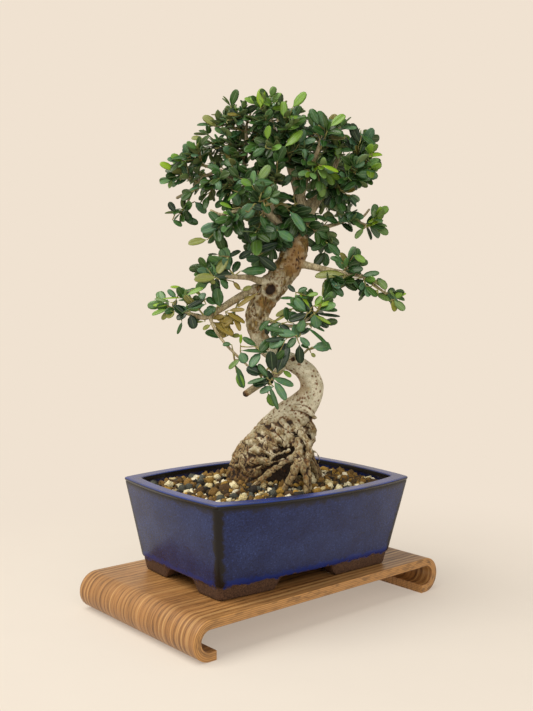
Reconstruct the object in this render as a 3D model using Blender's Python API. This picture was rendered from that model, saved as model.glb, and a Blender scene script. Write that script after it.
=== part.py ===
# An olive bonsai in its glazed pot, on a curved wooden stand.
# Metres, +Z up. The origin is on the ground under the middle of the stand.
# The stand's length runs along X. The tree's own points are given as seen from its front,
# which looks along FRONT_AZIMUTH: (across to the right, height above ground, towards the viewer).

import math
import random

import bpy
from mathutils import Vector
from mathutils.bvhtree import BVHTree

MM = 0.001
GAP = 0.3 * MM

# Stand: one board of bent plywood whose ends roll under.
STAND_LENGTH = 229 * MM
STAND_WIDTH = 129 * MM
ROLL_RADIUS = 12.7 * MM
BOARD_THICKNESS = 6.0 * MM
LIP_LENGTH = 4.6 * MM
ROLL_STEPS = 12
POT_REST = 2 * ROLL_RADIUS + GAP

# Pot: heights are above the pot's own foot, sizes are outside ones.
POT_CENTRE = (-2.4 * MM, -3.4 * MM)
POT_TURN = math.radians(-3.4)
RIM_LENGTH = 170 * MM
RIM_WIDTH = 112 * MM
RIM_LONG_BOW = 12.4 * MM
RIM_SHORT_BOW = 4.5 * MM
RIM_WALL = 8.8 * MM
RIM_EDGE = 2.2 * MM
RIM_DEPTH = 6 * MM
POT_HEIGHT = 64 * MM
GLAZE_LENGTH = 151.4 * MM
GLAZE_WIDTH = 93.4 * MM
GLAZE_LONG_BOW = 3.6 * MM
GLAZE_SHORT_BOW = 1.5 * MM
FOOT_HEIGHT = 8.9 * MM
FOOT_LENGTH = 147 * MM
FOOT_WIDTH = 88.8 * MM
FOOT_LONG_BOW = 2.2 * MM
FOOT_SHORT_BOW = 1.0 * MM
FOOT_WALL = 9.5 * MM
POT_WALL = 7.0 * MM
CORNER_ROUND = 3.0 * MM
UNDERSIDE = 8.5 * MM
POT_FLOOR = 14.5 * MM
LONG_STEPS = 10
SHORT_STEPS = 6
CORNER_STEPS = 3
FOOT_CHAMFER = 0.9 * MM
FOOT_TOP_INSET = 0.6 * MM
GLAZE_EDGE = 0.5 * MM
RIM_OUTER_CHAMFER = 0.9 * MM
RIM_INNER_CHAMFER = 0.8 * MM
CUTTER_MARGIN = 5 * MM
NOTCH_STEPS = 5
NOTCH_HEIGHT = 7.6 * MM
LONG_NOTCH = (28 * MM, 21 * MM)
LONG_NOTCH_SHIFT = 3.5 * MM
SHORT_NOTCH = (20.8 * MM, 12 * MM)
SHORT_NOTCH_SHIFT = -2.5 * MM
DRAIN_RADIUS = 8 * MM
DRAIN_SIDES = 16
DRAIN_AT = 38 * MM

# Drainage screens and the wires that pin them over the holes.
SCREEN_SIDE = 26 * MM
SCREEN_THICKNESS = 0.8 * MM
SCREEN_BAR = 2.2 * MM
SCREEN_OPENINGS = 3
WIRE_RADIUS = 0.6 * MM
WIRE_LEG_AT = 6.1 * MM
WIRE_BEND = 0.7 * MM
WIRE_FOOT_AT = 13 * MM

# Soil: heights are above the ground.
SOIL_AT_WALL = 83.3 * MM
SOIL_AT_TRUNK = 91 * MM
SOIL_LUMP = 0.8 * MM
SOIL_WAVES = (410, 470, 790, 730)
SOIL_RINGS = 6
SOIL_INNERMOST_RING = 0.08
SOIL_SIDE_CLEARANCE = 0.35 * MM
SCREEN_POCKET_MARGIN = 0.5 * MM
SCREEN_POCKET_DEPTH = 3 * MM
ROOT_CLEARANCE = 0.45 * MM

# Tree: (across, height, towards) and radius, all in millimetres.
FRONT_AZIMUTH = math.radians(-42.0)
TRUNK = [
    ((2, 76, -4), 20), ((2, 84, -3), 25.5), ((3, 97, -2), 26.5), ((6, 110, -2), 24), ((11, 121, -1), 20.5),
    ((17, 131, 0), 16.5), ((24, 140, 2), 11), ((29, 148, 4), 8.5), ((30, 156, 5), 8), ((26, 164, 6), 7.2),
    ((18, 170, 6), 6.4), ((7, 175, 5), 6.1), ((-3, 182, 4), 6.1), ((-8, 190, 3), 6.4), ((-10, 200, 2), 7.5),
    ((-7, 210, 1), 8.6), ((-2, 220, 0), 9.2), ((5, 229, -1), 9.3), ((12, 239, -2), 9.4), ((16, 249, -3), 10.2),
    ((18, 259, -4), 9.6), ((20, 266, -5), 7),
]
LIMBS = {
    "leader": [((17, 252, -3), 7), ((21, 270, -5), 5.4), ((21, 280, -6), 4.6), ((19, 291, -6), 4),
               ((14, 305, -4), 3.3), ((9, 318, -2), 2.4), ((0, 335, 0), 1.6), ((-6, 349, 2), 0.9)],
    "left_fork": [((16, 250, -4), 6), ((7, 267, -2), 4.5), ((-1, 279, 0), 3.8), ((-7, 290, 0), 3.3),
                  ((-17, 296, -2), 2.6), ((-28, 301, -4), 2), ((-41, 307, -6), 1.5), ((-52, 310, -8), 1)],
    "left_riser": [((-14, 294, -1), 2.4), ((-20, 305, -8), 1.9), ((-19, 322, -12), 1.6),
                   ((-19, 339, -14), 1.1), ((-16, 348, -13), 0.8)],
    "left_limb": [((8, 264, -1), 3.2), ((-1, 273, 10), 2.4), ((-10, 278, 16), 1.9), ((-23, 275, 20), 1.5),
                  ((-34, 272, 22), 1.2), ((-42, 275, 22), 0.9)],
    "left_drop": [((-38, 306, -5), 1.4), ((-52, 299, -10), 1.1), ((-59, 287, -12), 1), ((-61, 280, -12), 0.8)],
    "right_fork": [((20, 264, -5), 4.2), ((30, 282, -10), 3.2), ((38, 296, -12), 2.6), ((44, 309, -12), 2),
                   ((48, 322, -10), 1.4), ((50, 332, -9), 0.9)],
    "right_riser": [((20, 288, -6), 3.2), ((25, 306, 2), 2.2), ((31, 318, 6), 1.6), ((34, 330, 8), 1)],
    "right_outer": [((38, 296, -12), 2.2), ((50, 303, -4), 1.5), ((58, 308, 2), 1.1), ((61, 316, 4), 0.8)],
    "right_arm": [((22, 262, -5), 2.8), ((37, 267, -10), 1.8), ((47, 270, -10), 1.5), ((56, 273, -8), 1.2),
                  ((64, 270, -4), 1), ((68, 268, -1), 0.8)],
    "right_low": [((13, 243, -2), 4), ((22, 240, 6), 2.9), ((30, 238, 10), 2.5), ((39, 236, 12), 2.2),
                  ((50, 234, 14), 1.9), ((63, 232, 15), 1.5), ((70, 227, 15), 1.2), ((80, 220, 14), 0.9)],
    "left_low": [((-1, 224, 0), 4.2), ((-12, 222, 4), 3.2), ((-19, 218, 8), 2.9), ((-27, 213, 12), 2.7),
                 ((-36, 207, 15), 2.4), ((-45, 202, 16), 2), ((-55, 204, 16), 1.6), ((-66, 207, 14), 1.1)],
    "left_upper": [((6, 232, 0), 3.6), ((-6, 228, 8), 2.7), ((-15, 230, 14), 2.2), ((-25, 230, 18), 1.7),
                   ((-36, 230, 20), 1.2)],
    "hanging": [((-42, 204, 16), 1.5), ((-39, 196, 20), 1.2), ((-32, 186, 23), 1.1), ((-22, 176, 25), 1),
                ((-14, 169, 26), 0.9), ((-6, 163, 26), 0.8)],
    "stub": [((12, 172, 5), 4), ((4, 163, 12), 2.8), ((-7, 156, 14), 2.5), ((-17, 149, 15), 2.3)],
    "mid_twig": [((-8, 204, 2), 3), ((3, 199, 14), 1.5), ((12, 197, 18), 1.4), ((20, 198, 20), 1.2),
                 ((27, 203, 21), 0.9)],
    "knot_twig": [((9, 173, 5), 2.6), ((17, 175, 14), 1.3), ((23, 178, 17), 1), ((27, 182, 18), 0.8)],
    "back_left": [((16, 249, -4), 5), ((12, 260, -24), 2.9), ((3, 273, -36), 2.4), ((-7, 287, -44), 1.8),
                  ((-16, 300, -48), 1.1)],
    "back_right": [((20, 266, -5), 4), ((26, 284, -26), 2.7), ((34, 298, -36), 2.1), ((39, 313, -42), 1.3)],
    "back_top": [((17, 297, -5), 3), ((11, 316, -20), 2), ((7, 333, -26), 1.5), ((3, 346, -26), 1)],
}
ROOTS = {
    "front_left": [((20, 116, 6), 5), ((14, 106, 20), 3.4), ((7, 102, 26), 2.8), ((-2, 96, 30), 2.3),
                   ((-9, 91, 33), 1.9), ((-14, 85, 36), 1.3)],
    "front_right": [((22, 122, 2), 5), ((26, 115, 15), 3.4), ((27, 109, 20), 3.1), ((28, 103, 23), 2.9),
                    ((29, 96, 26), 2.7), ((29, 88, 29), 2.2), ((29, 82, 33), 1.4)],
    "front_middle": [((22, 110, 12), 5), ((20, 99, 25), 3.2), ((16, 93, 31), 2.8), ((12, 88, 34), 2.2),
                     ((9, 83, 37), 1.5)],
    "left": [((-6, 112, 2), 11), ((-16, 106, 8), 9), ((-22, 97, 10), 7.5), ((-26, 88, 11), 6), ((-30, 80, 12), 3)],
    "right_back": [((14, 112, -8), 9), ((24, 102, -16), 6), ((32, 93, -22), 4.4), ((38, 84, -28), 3)],
    "right": [((20, 116, -2), 8), ((28, 106, -3), 5.4), ((34, 96, -3), 3.8), ((40, 86, -2), 2.6)],
    "back": [((4, 110, -10), 9), ((-2, 100, -24), 6), ((-6, 91, -32), 4.4), ((-8, 83, -38), 3)],
    "back_left": [((-4, 108, -6), 9), ((-16, 98, -16), 6), ((-24, 90, -22), 4.4), ((-30, 82, -27), 3)],
}
TRUNK_SIDES = 14
LIMB_SIDES = 6
ROOT_SIDES = 7
TRUNK_FINENESS = 2
LIMB_FINENESS = 1

# Leaf sprays: (name, foot, tip, leaf pairs, leaf length), places as above, in millimetres.
SPRAYS = [
    ("top_centre", (-4, 344, 0), (-8, 359, 4), 4, 15),
    ("top_left", (-17, 341, -13), (-29, 348, -8), 4, 13),
    ("top_far_left", (-19, 334, -13), (-42, 341, -12), 5, 16),
    ("high_left", (-20, 320, -11), (-49, 326, -4), 5, 14),
    ("top_right", (6, 326, -2), (11, 344, 8), 5, 17),
    ("left_end_high", (-47, 308, -7), (-60, 318, -3), 4, 16),
    ("left_end", (-54, 298, -10), (-70, 306, -6), 4, 15),
    ("left_end_low", (-61, 282, -12), (-67, 272, -4), 4, 15),
    ("left_fork_front", (-36, 305, -5), (-48, 291, 10), 4, 14),
    ("left_fork_middle", (-26, 299, -3), (-35, 287, 14), 4, 15),
    ("left_limb_outer", (-22, 276, 20), (-30, 261, 24), 4, 17),
    ("left_limb_end", (-31, 274, 21), (-42, 254, 17), 5, 16),
    ("left_limb_inner", (-5, 274, 12), (-14, 249, 15), 4, 20),
    ("front_low", (8, 266, 2), (-4, 245, 15), 5, 19),
    ("front_leader", (13, 281, -2), (21, 264, 15), 4, 18),
    ("front_left", (8, 298, -2), (-7, 296, 20), 5, 16),
    ("front_high", (13, 308, -4), (10, 320, 14), 5, 17),
    ("front_high_left", (6, 314, -1), (-5, 324, 12), 5, 15),
    ("front_right", (28, 312, 4), (34, 305, 20), 4, 15),
    ("high_right", (33, 320, 6), (39, 339, 9), 5, 17),
    ("right_end_high", (59, 312, 3), (60, 329, 5), 5, 15),
    ("right_end", (57, 307, 1), (71, 312, 5), 4, 15),
    ("right_end_front", (51, 303, -3), (61, 300, 9), 5, 17),
    ("right_fork_front", (38, 297, -12), (51, 292, 6), 4, 15),
    ("right_fork_high", (46, 314, -12), (44, 326, -2), 4, 16),
    ("right_arm_end", (65, 269, -3), (77, 269, 1), 4, 15),
    ("right_arm_top", (49, 271, -10), (57, 278, -4), 4, 15),
    ("right_arm_front", (36, 267, -10), (42, 255, 4), 4, 16),
    ("right_low_top", (50, 234, 14), (55, 245, 17), 4, 15),
    ("right_low_under", (39, 236, 12), (43, 221, 17), 4, 17),
    ("right_low_outer", (64, 231, 15), (66, 222, 19), 4, 15),
    ("right_low_end", (79, 221, 14), (87, 218, 12), 4, 14),
    ("left_low_end", (-64, 207, 14), (-80, 213, 11), 5, 14),
    ("left_low_riser", (-55, 204, 16), (-61, 221, 16), 4, 14),
    ("left_low_outer", (-45, 202, 16), (-54, 214, 22), 5, 16),
    ("left_low_top", (-34, 208, 14), (-36, 221, 18), 4, 17),
    ("left_low_under", (-21, 216, 9), (-27, 202, 14), 4, 17),
    ("left_upper_end", (-35, 230, 20), (-47, 229, 20), 3, 16),
    ("left_upper_top", (-25, 231, 18), (-35, 244, 17), 4, 16),
    ("hanging_outer", (-25, 179, 24), (-21, 157, 27), 4, 16),
    ("hanging_end", (-6, 163, 26), (2, 145, 28), 5, 17),
    ("hanging_top", (-5, 163, 26), (8, 180, 31), 4, 19),
    ("mid_end", (27, 203, 21), (38, 213, 25), 4, 16),
    ("mid_riser", (20, 198, 20), (23, 219, 22), 4, 16),
    ("mid_right", (23, 199, 20), (43, 200, 20), 4, 16),
    ("mid_front", (9, 198, 17), (-4, 183, 26), 5, 17),
    ("knot_end", (26, 181, 18), (36, 184, 20), 3, 15),
    ("back_left_high", (-14, 297, -46), (-34, 312, -64), 5, 16),
    ("back_left_low", (-6, 285, -43), (-18, 278, -62), 5, 16),
    ("back_right_high", (37, 309, -40), (44, 330, -54), 5, 16),
    ("back_right_low", (33, 297, -35), (48, 292, -58), 5, 16),
    ("back_top", (4, 343, -26), (0, 358, -34), 5, 16),
]
TWIG_RADIUS = 0.8 * MM
TWIG_TAPER = (1.1, 0.75)
TWIG_CORNER = 1.6
BEHIND_FOOT = 0.2 * MM
NODE_LENGTH = 1.5 * MM
LEAF_THICKNESS = 0.7 * MM
LEAF_WIDTH_RATIO = 0.46
LEAF_WIDEST_AT = 0.52
LEAF_TESTED_FROM = 0.1
LEAF_TRIES = ((0, 1), (0.2, 1), (-0.25, 1), (0.4, 0.9), (-0.45, 0.9), (0.1, 0.75), (-0.6, 0.75), (0.6, 0.7))
LEAF_SPREAD = math.radians(52)
FIRST_PAIR_AT = 0.26
FOOT_SHARE = 0.12
LEAST_PAIR_SPACING = 2.3 * MM
END_LEAF_SHARE = 0.85
TIP_TRIM = 0.45
SHORTEST_TWIG = 0.6
SEATING_STEP = 0.05 * MM
MOST_NUDGES = 12
TWIG_SAGS = (0.1, 0.0, -0.1, 0.2, -0.2)
SEED = 7


def clear_scene():
    for old in list(bpy.data.objects):
        bpy.data.objects.remove(old, do_unlink=True)


def material(name, colour, roughness, metallic=0.0):
    made = bpy.data.materials.new(name)
    made.use_nodes = True
    shader = made.node_tree.nodes["Principled BSDF"]
    shader.inputs["Base Color"].default_value = (*colour, 1.0)
    shader.inputs["Roughness"].default_value = roughness
    shader.inputs["Metallic"].default_value = metallic
    return made


def mesh_object(name, points, faces, finish=None, smooth=False):
    """A mesh object whose place is in its points."""
    mesh = bpy.data.meshes.new(name)
    mesh.from_pydata([tuple(p) for p in points], [], faces)
    mesh.validate()
    if smooth:
        mesh.shade_smooth()
    made = bpy.data.objects.new(name, mesh)
    bpy.context.scene.collection.objects.link(made)
    if finish:
        mesh.materials.append(finish)
    return made


def helper(made):
    """Marks an object as a cutter or a guide, which isn't a piece of its own."""
    made.hide_render = True
    made.display_type = "WIRE"
    return made


def boolean(target, other, operation):
    modifier = target.modifiers.new(f"{operation.lower()} {other.name}", "BOOLEAN")
    modifier.operation = operation
    modifier.solver = "EXACT"
    modifier.object = other


def loft(rings, lean_back=False):
    """Points and faces of closed rings joined in order, with a cap at each end. A skewed face is
    split along one diagonal, or along the other if it leans back."""
    count = len(rings[0])
    points = [p for ring in rings for p in ring]
    faces = []
    for r in range(len(rings) - 1):
        for i in range(count):
            after = (i + 1) % count
            face = (r * count + i, r * count + after, (r + 1) * count + after, (r + 1) * count + i)
            faces.append(face[1:] + face[:1] if lean_back else face)
    last = (len(rings) - 1) * count
    faces.append(tuple(reversed(range(count))))
    faces.append(tuple(range(last, last + count)))
    return points, faces


def prism(outline, low, high, axis):
    """A closed outline carried straight along X, Y or Z, as rings for loft."""
    place = {
        "X": lambda u, v, w: Vector((w, u, v)),
        "Y": lambda u, v, w: Vector((-u, w, v)),
        "Z": lambda u, v, w: Vector((u, v, w)),
    }[axis]
    return [[place(u, v, w) for u, v in outline] for w in (low, high)]


def arc(centre, radius, start, end, steps):
    """Points on a circle from one angle to another, both ends included, angles in degrees."""
    turns = [math.radians(start + (end - start) * k / steps) for k in range(steps + 1)]
    return [(centre[0] + radius * math.cos(a), centre[1] + radius * math.sin(a)) for a in turns]


def build_stand(finish):
    """One board: its side outline, a flat top with two rolled ends and short lips, drawn across."""
    outer, inner = ROLL_RADIUS, ROLL_RADIUS - BOARD_THICKNESS
    left, right = -STAND_LENGTH / 2 + ROLL_RADIUS, STAND_LENGTH / 2 - ROLL_RADIUS
    outline = [(right - LIP_LENGTH, 0)]
    outline += arc((right, outer), outer, -90, 90, ROLL_STEPS)
    outline += arc((left, outer), outer, 90, 270, ROLL_STEPS)
    outline += [(left + LIP_LENGTH, 0), (left + LIP_LENGTH, BOARD_THICKNESS)]
    outline += arc((left, outer), inner, 270, 90, ROLL_STEPS)
    outline += arc((right, outer), inner, 90, -90, ROLL_STEPS)
    outline += [(right - LIP_LENGTH, BOARD_THICKNESS)]
    rings = [[Vector((x, y, z)) for x, z in outline] for y in (STAND_WIDTH / 2, -STAND_WIDTH / 2)]
    stand = mesh_object("stand", *loft(rings), finish)
    stand.data.set_sharp_from_angle(angle=math.radians(30))
    return stand


def bowed_outline(length, width, long_bow, short_bow):
    """A rectangle whose sides bow outwards and whose corners are rounded, anticlockwise."""
    corners = [(-1, -1), (1, -1), (1, 1), (-1, 1)]
    sides, tips = [], []
    for i, (x, y) in enumerate(corners):
        start = Vector((x * length / 2, y * width / 2))
        after = corners[(i + 1) % 4]
        end = Vector((after[0] * length / 2, after[1] * width / 2))
        steps, bow, outward = (
            (LONG_STEPS, long_bow, Vector((0, y))) if i % 2 == 0 else (SHORT_STEPS, short_bow, Vector((x, 0)))
        )
        trim = CORNER_ROUND / (end - start).length
        shares = [trim + (1 - 2 * trim) * k / steps for k in range(steps + 1)]
        sides.append([start.lerp(end, u) + outward * bow * 4 * u * (1 - u) for u in shares])
        tips.append(end)
    outline = []
    for i, side in enumerate(sides):
        outline += side
        first, last = side[-1], sides[(i + 1) % 4][0]
        for k in range(1, CORNER_STEPS):
            u = k / CORNER_STEPS
            outline.append(first * (1 - u) ** 2 + tips[i] * 2 * u * (1 - u) + last * u**2)
    return outline


def in_pot(x, y, z):
    """A point given in the pot's own axes, its height above the pot's foot, as a world point."""
    cos, sin = math.cos(POT_TURN), math.sin(POT_TURN)
    return Vector((POT_CENTRE[0] + x * cos - y * sin, POT_CENTRE[1] + x * sin + y * cos, POT_REST + z))


def pot_ring(length, width, long_bow, short_bow, z):
    return [in_pot(p.x, p.y, z) for p in bowed_outline(length, width, long_bow, short_bow)]


def wall_size(z, inset):
    """The pot wall's length, width and bows at a height, taken in by inset on every side."""
    u = (z - FOOT_HEIGHT) / (POT_HEIGHT - FOOT_HEIGHT)
    length = GLAZE_LENGTH + (RIM_LENGTH - GLAZE_LENGTH) * u
    width = GLAZE_WIDTH + (RIM_WIDTH - GLAZE_WIDTH) * u
    long_bow = GLAZE_LONG_BOW + (RIM_LONG_BOW - GLAZE_LONG_BOW) * u
    short_bow = GLAZE_SHORT_BOW + (RIM_SHORT_BOW - GLAZE_SHORT_BOW) * u
    return length - 2 * inset, width - 2 * inset, long_bow, short_bow


def notch_cutter(name, half_foot, half_top, shift, axis):
    """The gap between two feet: a flat-topped opening with curved ends, right through the pot."""
    shares = [k / NOTCH_STEPS for k in range(NOTCH_STEPS + 1)]
    rise = [(u, 0.5 - 0.5 * math.cos(math.pi * u)) for u in shares]
    right = [(half_foot + (half_top - half_foot) * u, NOTCH_HEIGHT * v) for u, v in rise]
    below = [(-half_foot, -CUTTER_MARGIN), (half_foot, -CUTTER_MARGIN)]
    outline = below + right + [(-u, v) for u, v in reversed(right)]
    outline = [(u + shift, v) for u, v in outline]
    rings = prism(outline, -RIM_LENGTH, RIM_LENGTH, axis)
    points, faces = loft(rings)
    return helper(mesh_object(name, [in_pot(*p) for p in points], faces))


def build_pot(finish):
    """One fired piece: foot ring, bowed and flared wall, flat rim, inside wall and floor."""
    foot = (FOOT_LENGTH, FOOT_WIDTH, FOOT_LONG_BOW, FOOT_SHORT_BOW)
    foot_in = (FOOT_LENGTH - 2 * FOOT_WALL, FOOT_WIDTH - 2 * FOOT_WALL, FOOT_LONG_BOW, FOOT_SHORT_BOW)
    foot_bottom = (FOOT_LENGTH - 2 * FOOT_CHAMFER, FOOT_WIDTH - 2 * FOOT_CHAMFER, FOOT_LONG_BOW, FOOT_SHORT_BOW)
    rings = [
        pot_ring(*foot_in, UNDERSIDE),
        pot_ring(*foot_in, 0),
        pot_ring(*foot_bottom, 0),
        pot_ring(*foot, FOOT_CHAMFER),
        pot_ring(*wall_size(FOOT_HEIGHT, FOOT_TOP_INSET), FOOT_HEIGHT),
        pot_ring(*wall_size(FOOT_HEIGHT, 0), FOOT_HEIGHT + GLAZE_EDGE),
        pot_ring(*wall_size(POT_HEIGHT - RIM_EDGE, 0), POT_HEIGHT - RIM_EDGE),
        pot_ring(*wall_size(POT_HEIGHT, 0), POT_HEIGHT - RIM_OUTER_CHAMFER),
        pot_ring(*wall_size(POT_HEIGHT, RIM_OUTER_CHAMFER), POT_HEIGHT),
        pot_ring(*wall_size(POT_HEIGHT, RIM_WALL - RIM_INNER_CHAMFER), POT_HEIGHT),
        pot_ring(*wall_size(POT_HEIGHT, RIM_WALL), POT_HEIGHT - RIM_INNER_CHAMFER),
        pot_ring(*wall_size(POT_HEIGHT - RIM_DEPTH, POT_WALL), POT_HEIGHT - RIM_DEPTH),
        pot_ring(*wall_size(POT_FLOOR, POT_WALL), POT_FLOOR),
    ]
    pot = mesh_object("pot", *loft(rings), finish)
    pot.data.set_sharp_from_angle(angle=math.radians(35))
    boolean(pot, notch_cutter("long_side_notch", *LONG_NOTCH, -LONG_NOTCH_SHIFT, "Y"), "DIFFERENCE")
    boolean(pot, notch_cutter("short_side_notch", *SHORT_NOTCH, SHORT_NOTCH_SHIFT, "X"), "DIFFERENCE")
    for side in (-1, 1):
        circle = arc((side * DRAIN_AT, 0), DRAIN_RADIUS, 0, 360 - 360 / DRAIN_SIDES, DRAIN_SIDES - 1)
        points, faces = loft(prism(circle, UNDERSIDE - CUTTER_MARGIN, POT_FLOOR + CUTTER_MARGIN, "Z"))
        hole = mesh_object(f"drain_hole_{side + 2}", [in_pot(*p) for p in points], faces)
        boolean(pot, helper(hole), "DIFFERENCE")
    return pot


def build_screen(name, centre_x, finish):
    """A square of moulded mesh: a grid of bars round square openings, flat on the pot's floor."""
    opening = (SCREEN_SIDE - (SCREEN_OPENINGS + 1) * SCREEN_BAR) / SCREEN_OPENINGS
    marks = [-SCREEN_SIDE / 2]
    for _ in range(SCREEN_OPENINGS):
        marks += [marks[-1] + SCREEN_BAR, marks[-1] + SCREEN_BAR + opening]
    marks.append(marks[-1] + SCREEN_BAR)
    count = len(marks)
    low = POT_FLOOR + GAP
    points = [in_pot(centre_x + x, y, z) for z in (low, low + SCREEN_THICKNESS) for y in marks for x in marks]
    layer = count * count
    solid = {(i, j) for i in range(count - 1) for j in range(count - 1) if not (i % 2 and j % 2)}
    faces = []
    for i, j in sorted(solid):
        a, b, c, d = j * count + i, j * count + i + 1, (j + 1) * count + i + 1, (j + 1) * count + i
        faces += [(d, c, b, a), (a + layer, b + layer, c + layer, d + layer)]
        for (p, q), beside in (((a, b), (i, j - 1)), ((b, c), (i + 1, j)), ((c, d), (i, j + 1)), ((d, a), (i - 1, j))):
            if beside not in solid:
                faces.append((p, q, q + layer, p + layer))
    return mesh_object(name, points, faces, finish)


def build_wire(name, centre_x, finish):
    """A bent wire: over the screen, down through two openings and the hole, and out under the pot."""
    top = POT_FLOOR + GAP + SCREEN_THICKNESS + GAP + WIRE_RADIUS
    under = UNDERSIDE - GAP - WIRE_RADIUS
    bend = WIRE_BEND
    half = [
        (0, top), (WIRE_LEG_AT - bend, top), (WIRE_LEG_AT, top - bend),
        (WIRE_LEG_AT, under + bend), (WIRE_LEG_AT + bend, under), (WIRE_FOOT_AT, under),
    ]
    route = [(-x, z) for x, z in reversed(half[1:])] + half
    curve = bpy.data.curves.new(name, "CURVE")
    curve.dimensions = "3D"
    curve.bevel_depth = WIRE_RADIUS
    curve.bevel_resolution = 1
    curve.use_fill_caps = True
    curve.materials.append(finish)
    spline = curve.splines.new("POLY")
    spline.points.add(len(route) - 1)
    for point, (x, z) in zip(spline.points, route):
        point.co = (*in_pot(centre_x + x, 0, z), 1)
    wire = bpy.data.objects.new(name, curve)
    bpy.context.scene.collection.objects.link(wire)
    return wire


def tree_point(across, height, towards):
    """A world point from its place as seen from the tree's front, in millimetres."""
    cos, sin = math.cos(FRONT_AZIMUTH), math.sin(FRONT_AZIMUTH)
    return Vector((across * cos + towards * sin, across * sin - towards * cos, height)) * MM


def smooth_path(stations, fineness):
    """Points and radii on a curve through the stations (Catmull-Rom), in metres."""
    places = [tree_point(*place) for place, _ in stations]
    radii = [radius * MM for _, radius in stations]
    places = [places[0] * 2 - places[1]] + places + [places[-1] * 2 - places[-2]]
    path, sizes = [], []
    for i in range(len(radii) - 1):
        a, b, c, d = places[i : i + 4]
        for k in range(fineness):
            u = k / fineness
            path.append(
                ((b * 2) + (c - a) * u + (a * 2 - b * 5 + c * 4 - d) * u**2 + (b * 3 - a - c * 3 + d) * u**3) / 2
            )
            sizes.append(radii[i] + (radii[i + 1] - radii[i]) * u)
    return path + [places[-2]], sizes + [radii[-1]]


def tube(name, path, radii, sides):
    """A closed tube round a path, its rings turned as little as possible from one to the next."""
    heading = (path[1] - path[0]).normalized()
    side = heading.orthogonal().normalized()
    rings = []
    for i, (place, radius) in enumerate(zip(path, radii)):
        ahead = path[min(i + 1, len(path) - 1)] - path[max(i - 1, 0)]
        turned = ahead.normalized()
        side.rotate(heading.rotation_difference(turned))
        heading = turned
        other = heading.cross(side)
        angles = [2 * math.pi * k / sides for k in range(sides)]
        rings.append([place + (side * math.cos(a) + other * math.sin(a)) * radius for a in angles])
    return mesh_object(name, *loft(rings), smooth=True)


def build_tree(finish):
    """Trunk, limbs and roots grown as one piece. Returns it and the limbs' centre lines."""
    tree = tube("trunk", *smooth_path(TRUNK, TRUNK_FINENESS), TRUNK_SIDES)
    tree.data.materials.append(finish)
    centres = []
    for group, sides in ((ROOTS, ROOT_SIDES), (LIMBS, LIMB_SIDES)):
        for name, stations in group.items():
            path, radii = smooth_path(stations, LIMB_FINENESS)
            boolean(tree, helper(tube(f"wood_{len(tree.modifiers)}_{name}", path, radii, sides)), "UNION")
            if group is LIMBS:
                centres += [a.lerp(b, k / 8) for a, b in zip(path, path[1:]) for k in range(9)]
    return tree, centres


def soil_height(point, along_wall):
    """The soil rises from the pot's wall to the trunk, with lumps the size of its grains."""
    a, b, c, d = SOIL_WAVES
    lumps = math.sin(point.x * a + 1.3) * math.sin(point.y * b + 0.4) + 0.6 * math.sin(point.x * c - point.y * d)
    rise = 0.5 - 0.5 * math.cos(math.pi * (1 - along_wall))
    return SOIL_AT_WALL + (SOIL_AT_TRUNK - SOIL_AT_WALL) * rise + SOIL_LUMP * lumps * (1 - along_wall**6)


def build_soil(finish):
    """The bed that fills the pot, hollowed for the roots and for the screens under it."""
    top = SOIL_AT_WALL - POT_REST
    clearance = POT_WALL + SOIL_SIDE_CLEARANCE
    rings = [pot_ring(*wall_size(POT_FLOOR + GAP, clearance), POT_FLOOR + GAP)]
    rim = pot_ring(*wall_size(top, clearance), top)
    centre = in_pot(0, 0, top)
    for k in range(SOIL_RINGS + 1):
        share = 1 - (1 - SOIL_INNERMOST_RING) * k / SOIL_RINGS
        ring = [centre.lerp(p, share) for p in rim]
        rings.append([Vector((p.x, p.y, soil_height(p, share))) for p in ring])
    soil = mesh_object("soil", *loft(rings, lean_back=True), finish, smooth=True)
    for name in ("trunk", *ROOTS):
        stations = TRUNK[:6] if name == "trunk" else ROOTS[name]
        sides = TRUNK_SIDES if name == "trunk" else ROOT_SIDES
        fineness = TRUNK_FINENESS if name == "trunk" else LIMB_FINENESS
        path, radii = smooth_path(stations, fineness)
        path[0] -= (path[1] - path[0]).normalized() * ROOT_CLEARANCE * (name == "trunk")
        path[-1] += (path[-1] - path[-2]).normalized() * ROOT_CLEARANCE
        cutter = tube(f"hollow_for_{name}", path, [r + ROOT_CLEARANCE for r in radii], sides)
        boolean(soil, helper(cutter), "DIFFERENCE")
    for side in (-1, 1):
        half = SCREEN_SIDE / 2 + SCREEN_POCKET_MARGIN
        square = [(side * DRAIN_AT + x, y) for x, y in ((-half, -half), (half, -half), (half, half), (-half, half))]
        points, faces = loft(prism(square, POT_FLOOR - CUTTER_MARGIN, POT_FLOOR + SCREEN_POCKET_DEPTH, "Z"))
        pocket = mesh_object(f"screen_pocket_{side + 2}", [in_pot(*p) for p in points], faces)
        boolean(soil, helper(pocket), "DIFFERENCE")
    return soil


def surface_tree(points, faces):
    return BVHTree.FromPolygons([tuple(p) for p in points], faces, all_triangles=False)


def leaf_points(corners, direction, across, length, grow=0.0):
    """A leaf as a flat spindle: its foot's four corners, the blade's four widest corners and its tip."""
    foot = sum(corners, Vector()) / 4
    lift = direction.cross(across).normalized()
    if lift.dot(corners[3] - corners[0]) < 0:
        lift = -lift
    width = across * (length * LEAF_WIDTH_RATIO / 2 + grow)
    depth = lift * (LEAF_THICKNESS / 2 + grow)
    middle = foot + direction * length * LEAF_WIDEST_AT
    blade = [middle - width - depth, middle + width - depth, middle + width + depth, middle - width + depth]
    return [*corners, *blade, foot + direction * (length + grow)]


LEAF_FACES = [(0, 1, 5, 4), (1, 2, 6, 5), (2, 3, 7, 6), (3, 0, 4, 7), (4, 5, 8), (5, 6, 8), (6, 7, 8), (7, 4, 8)]


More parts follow.
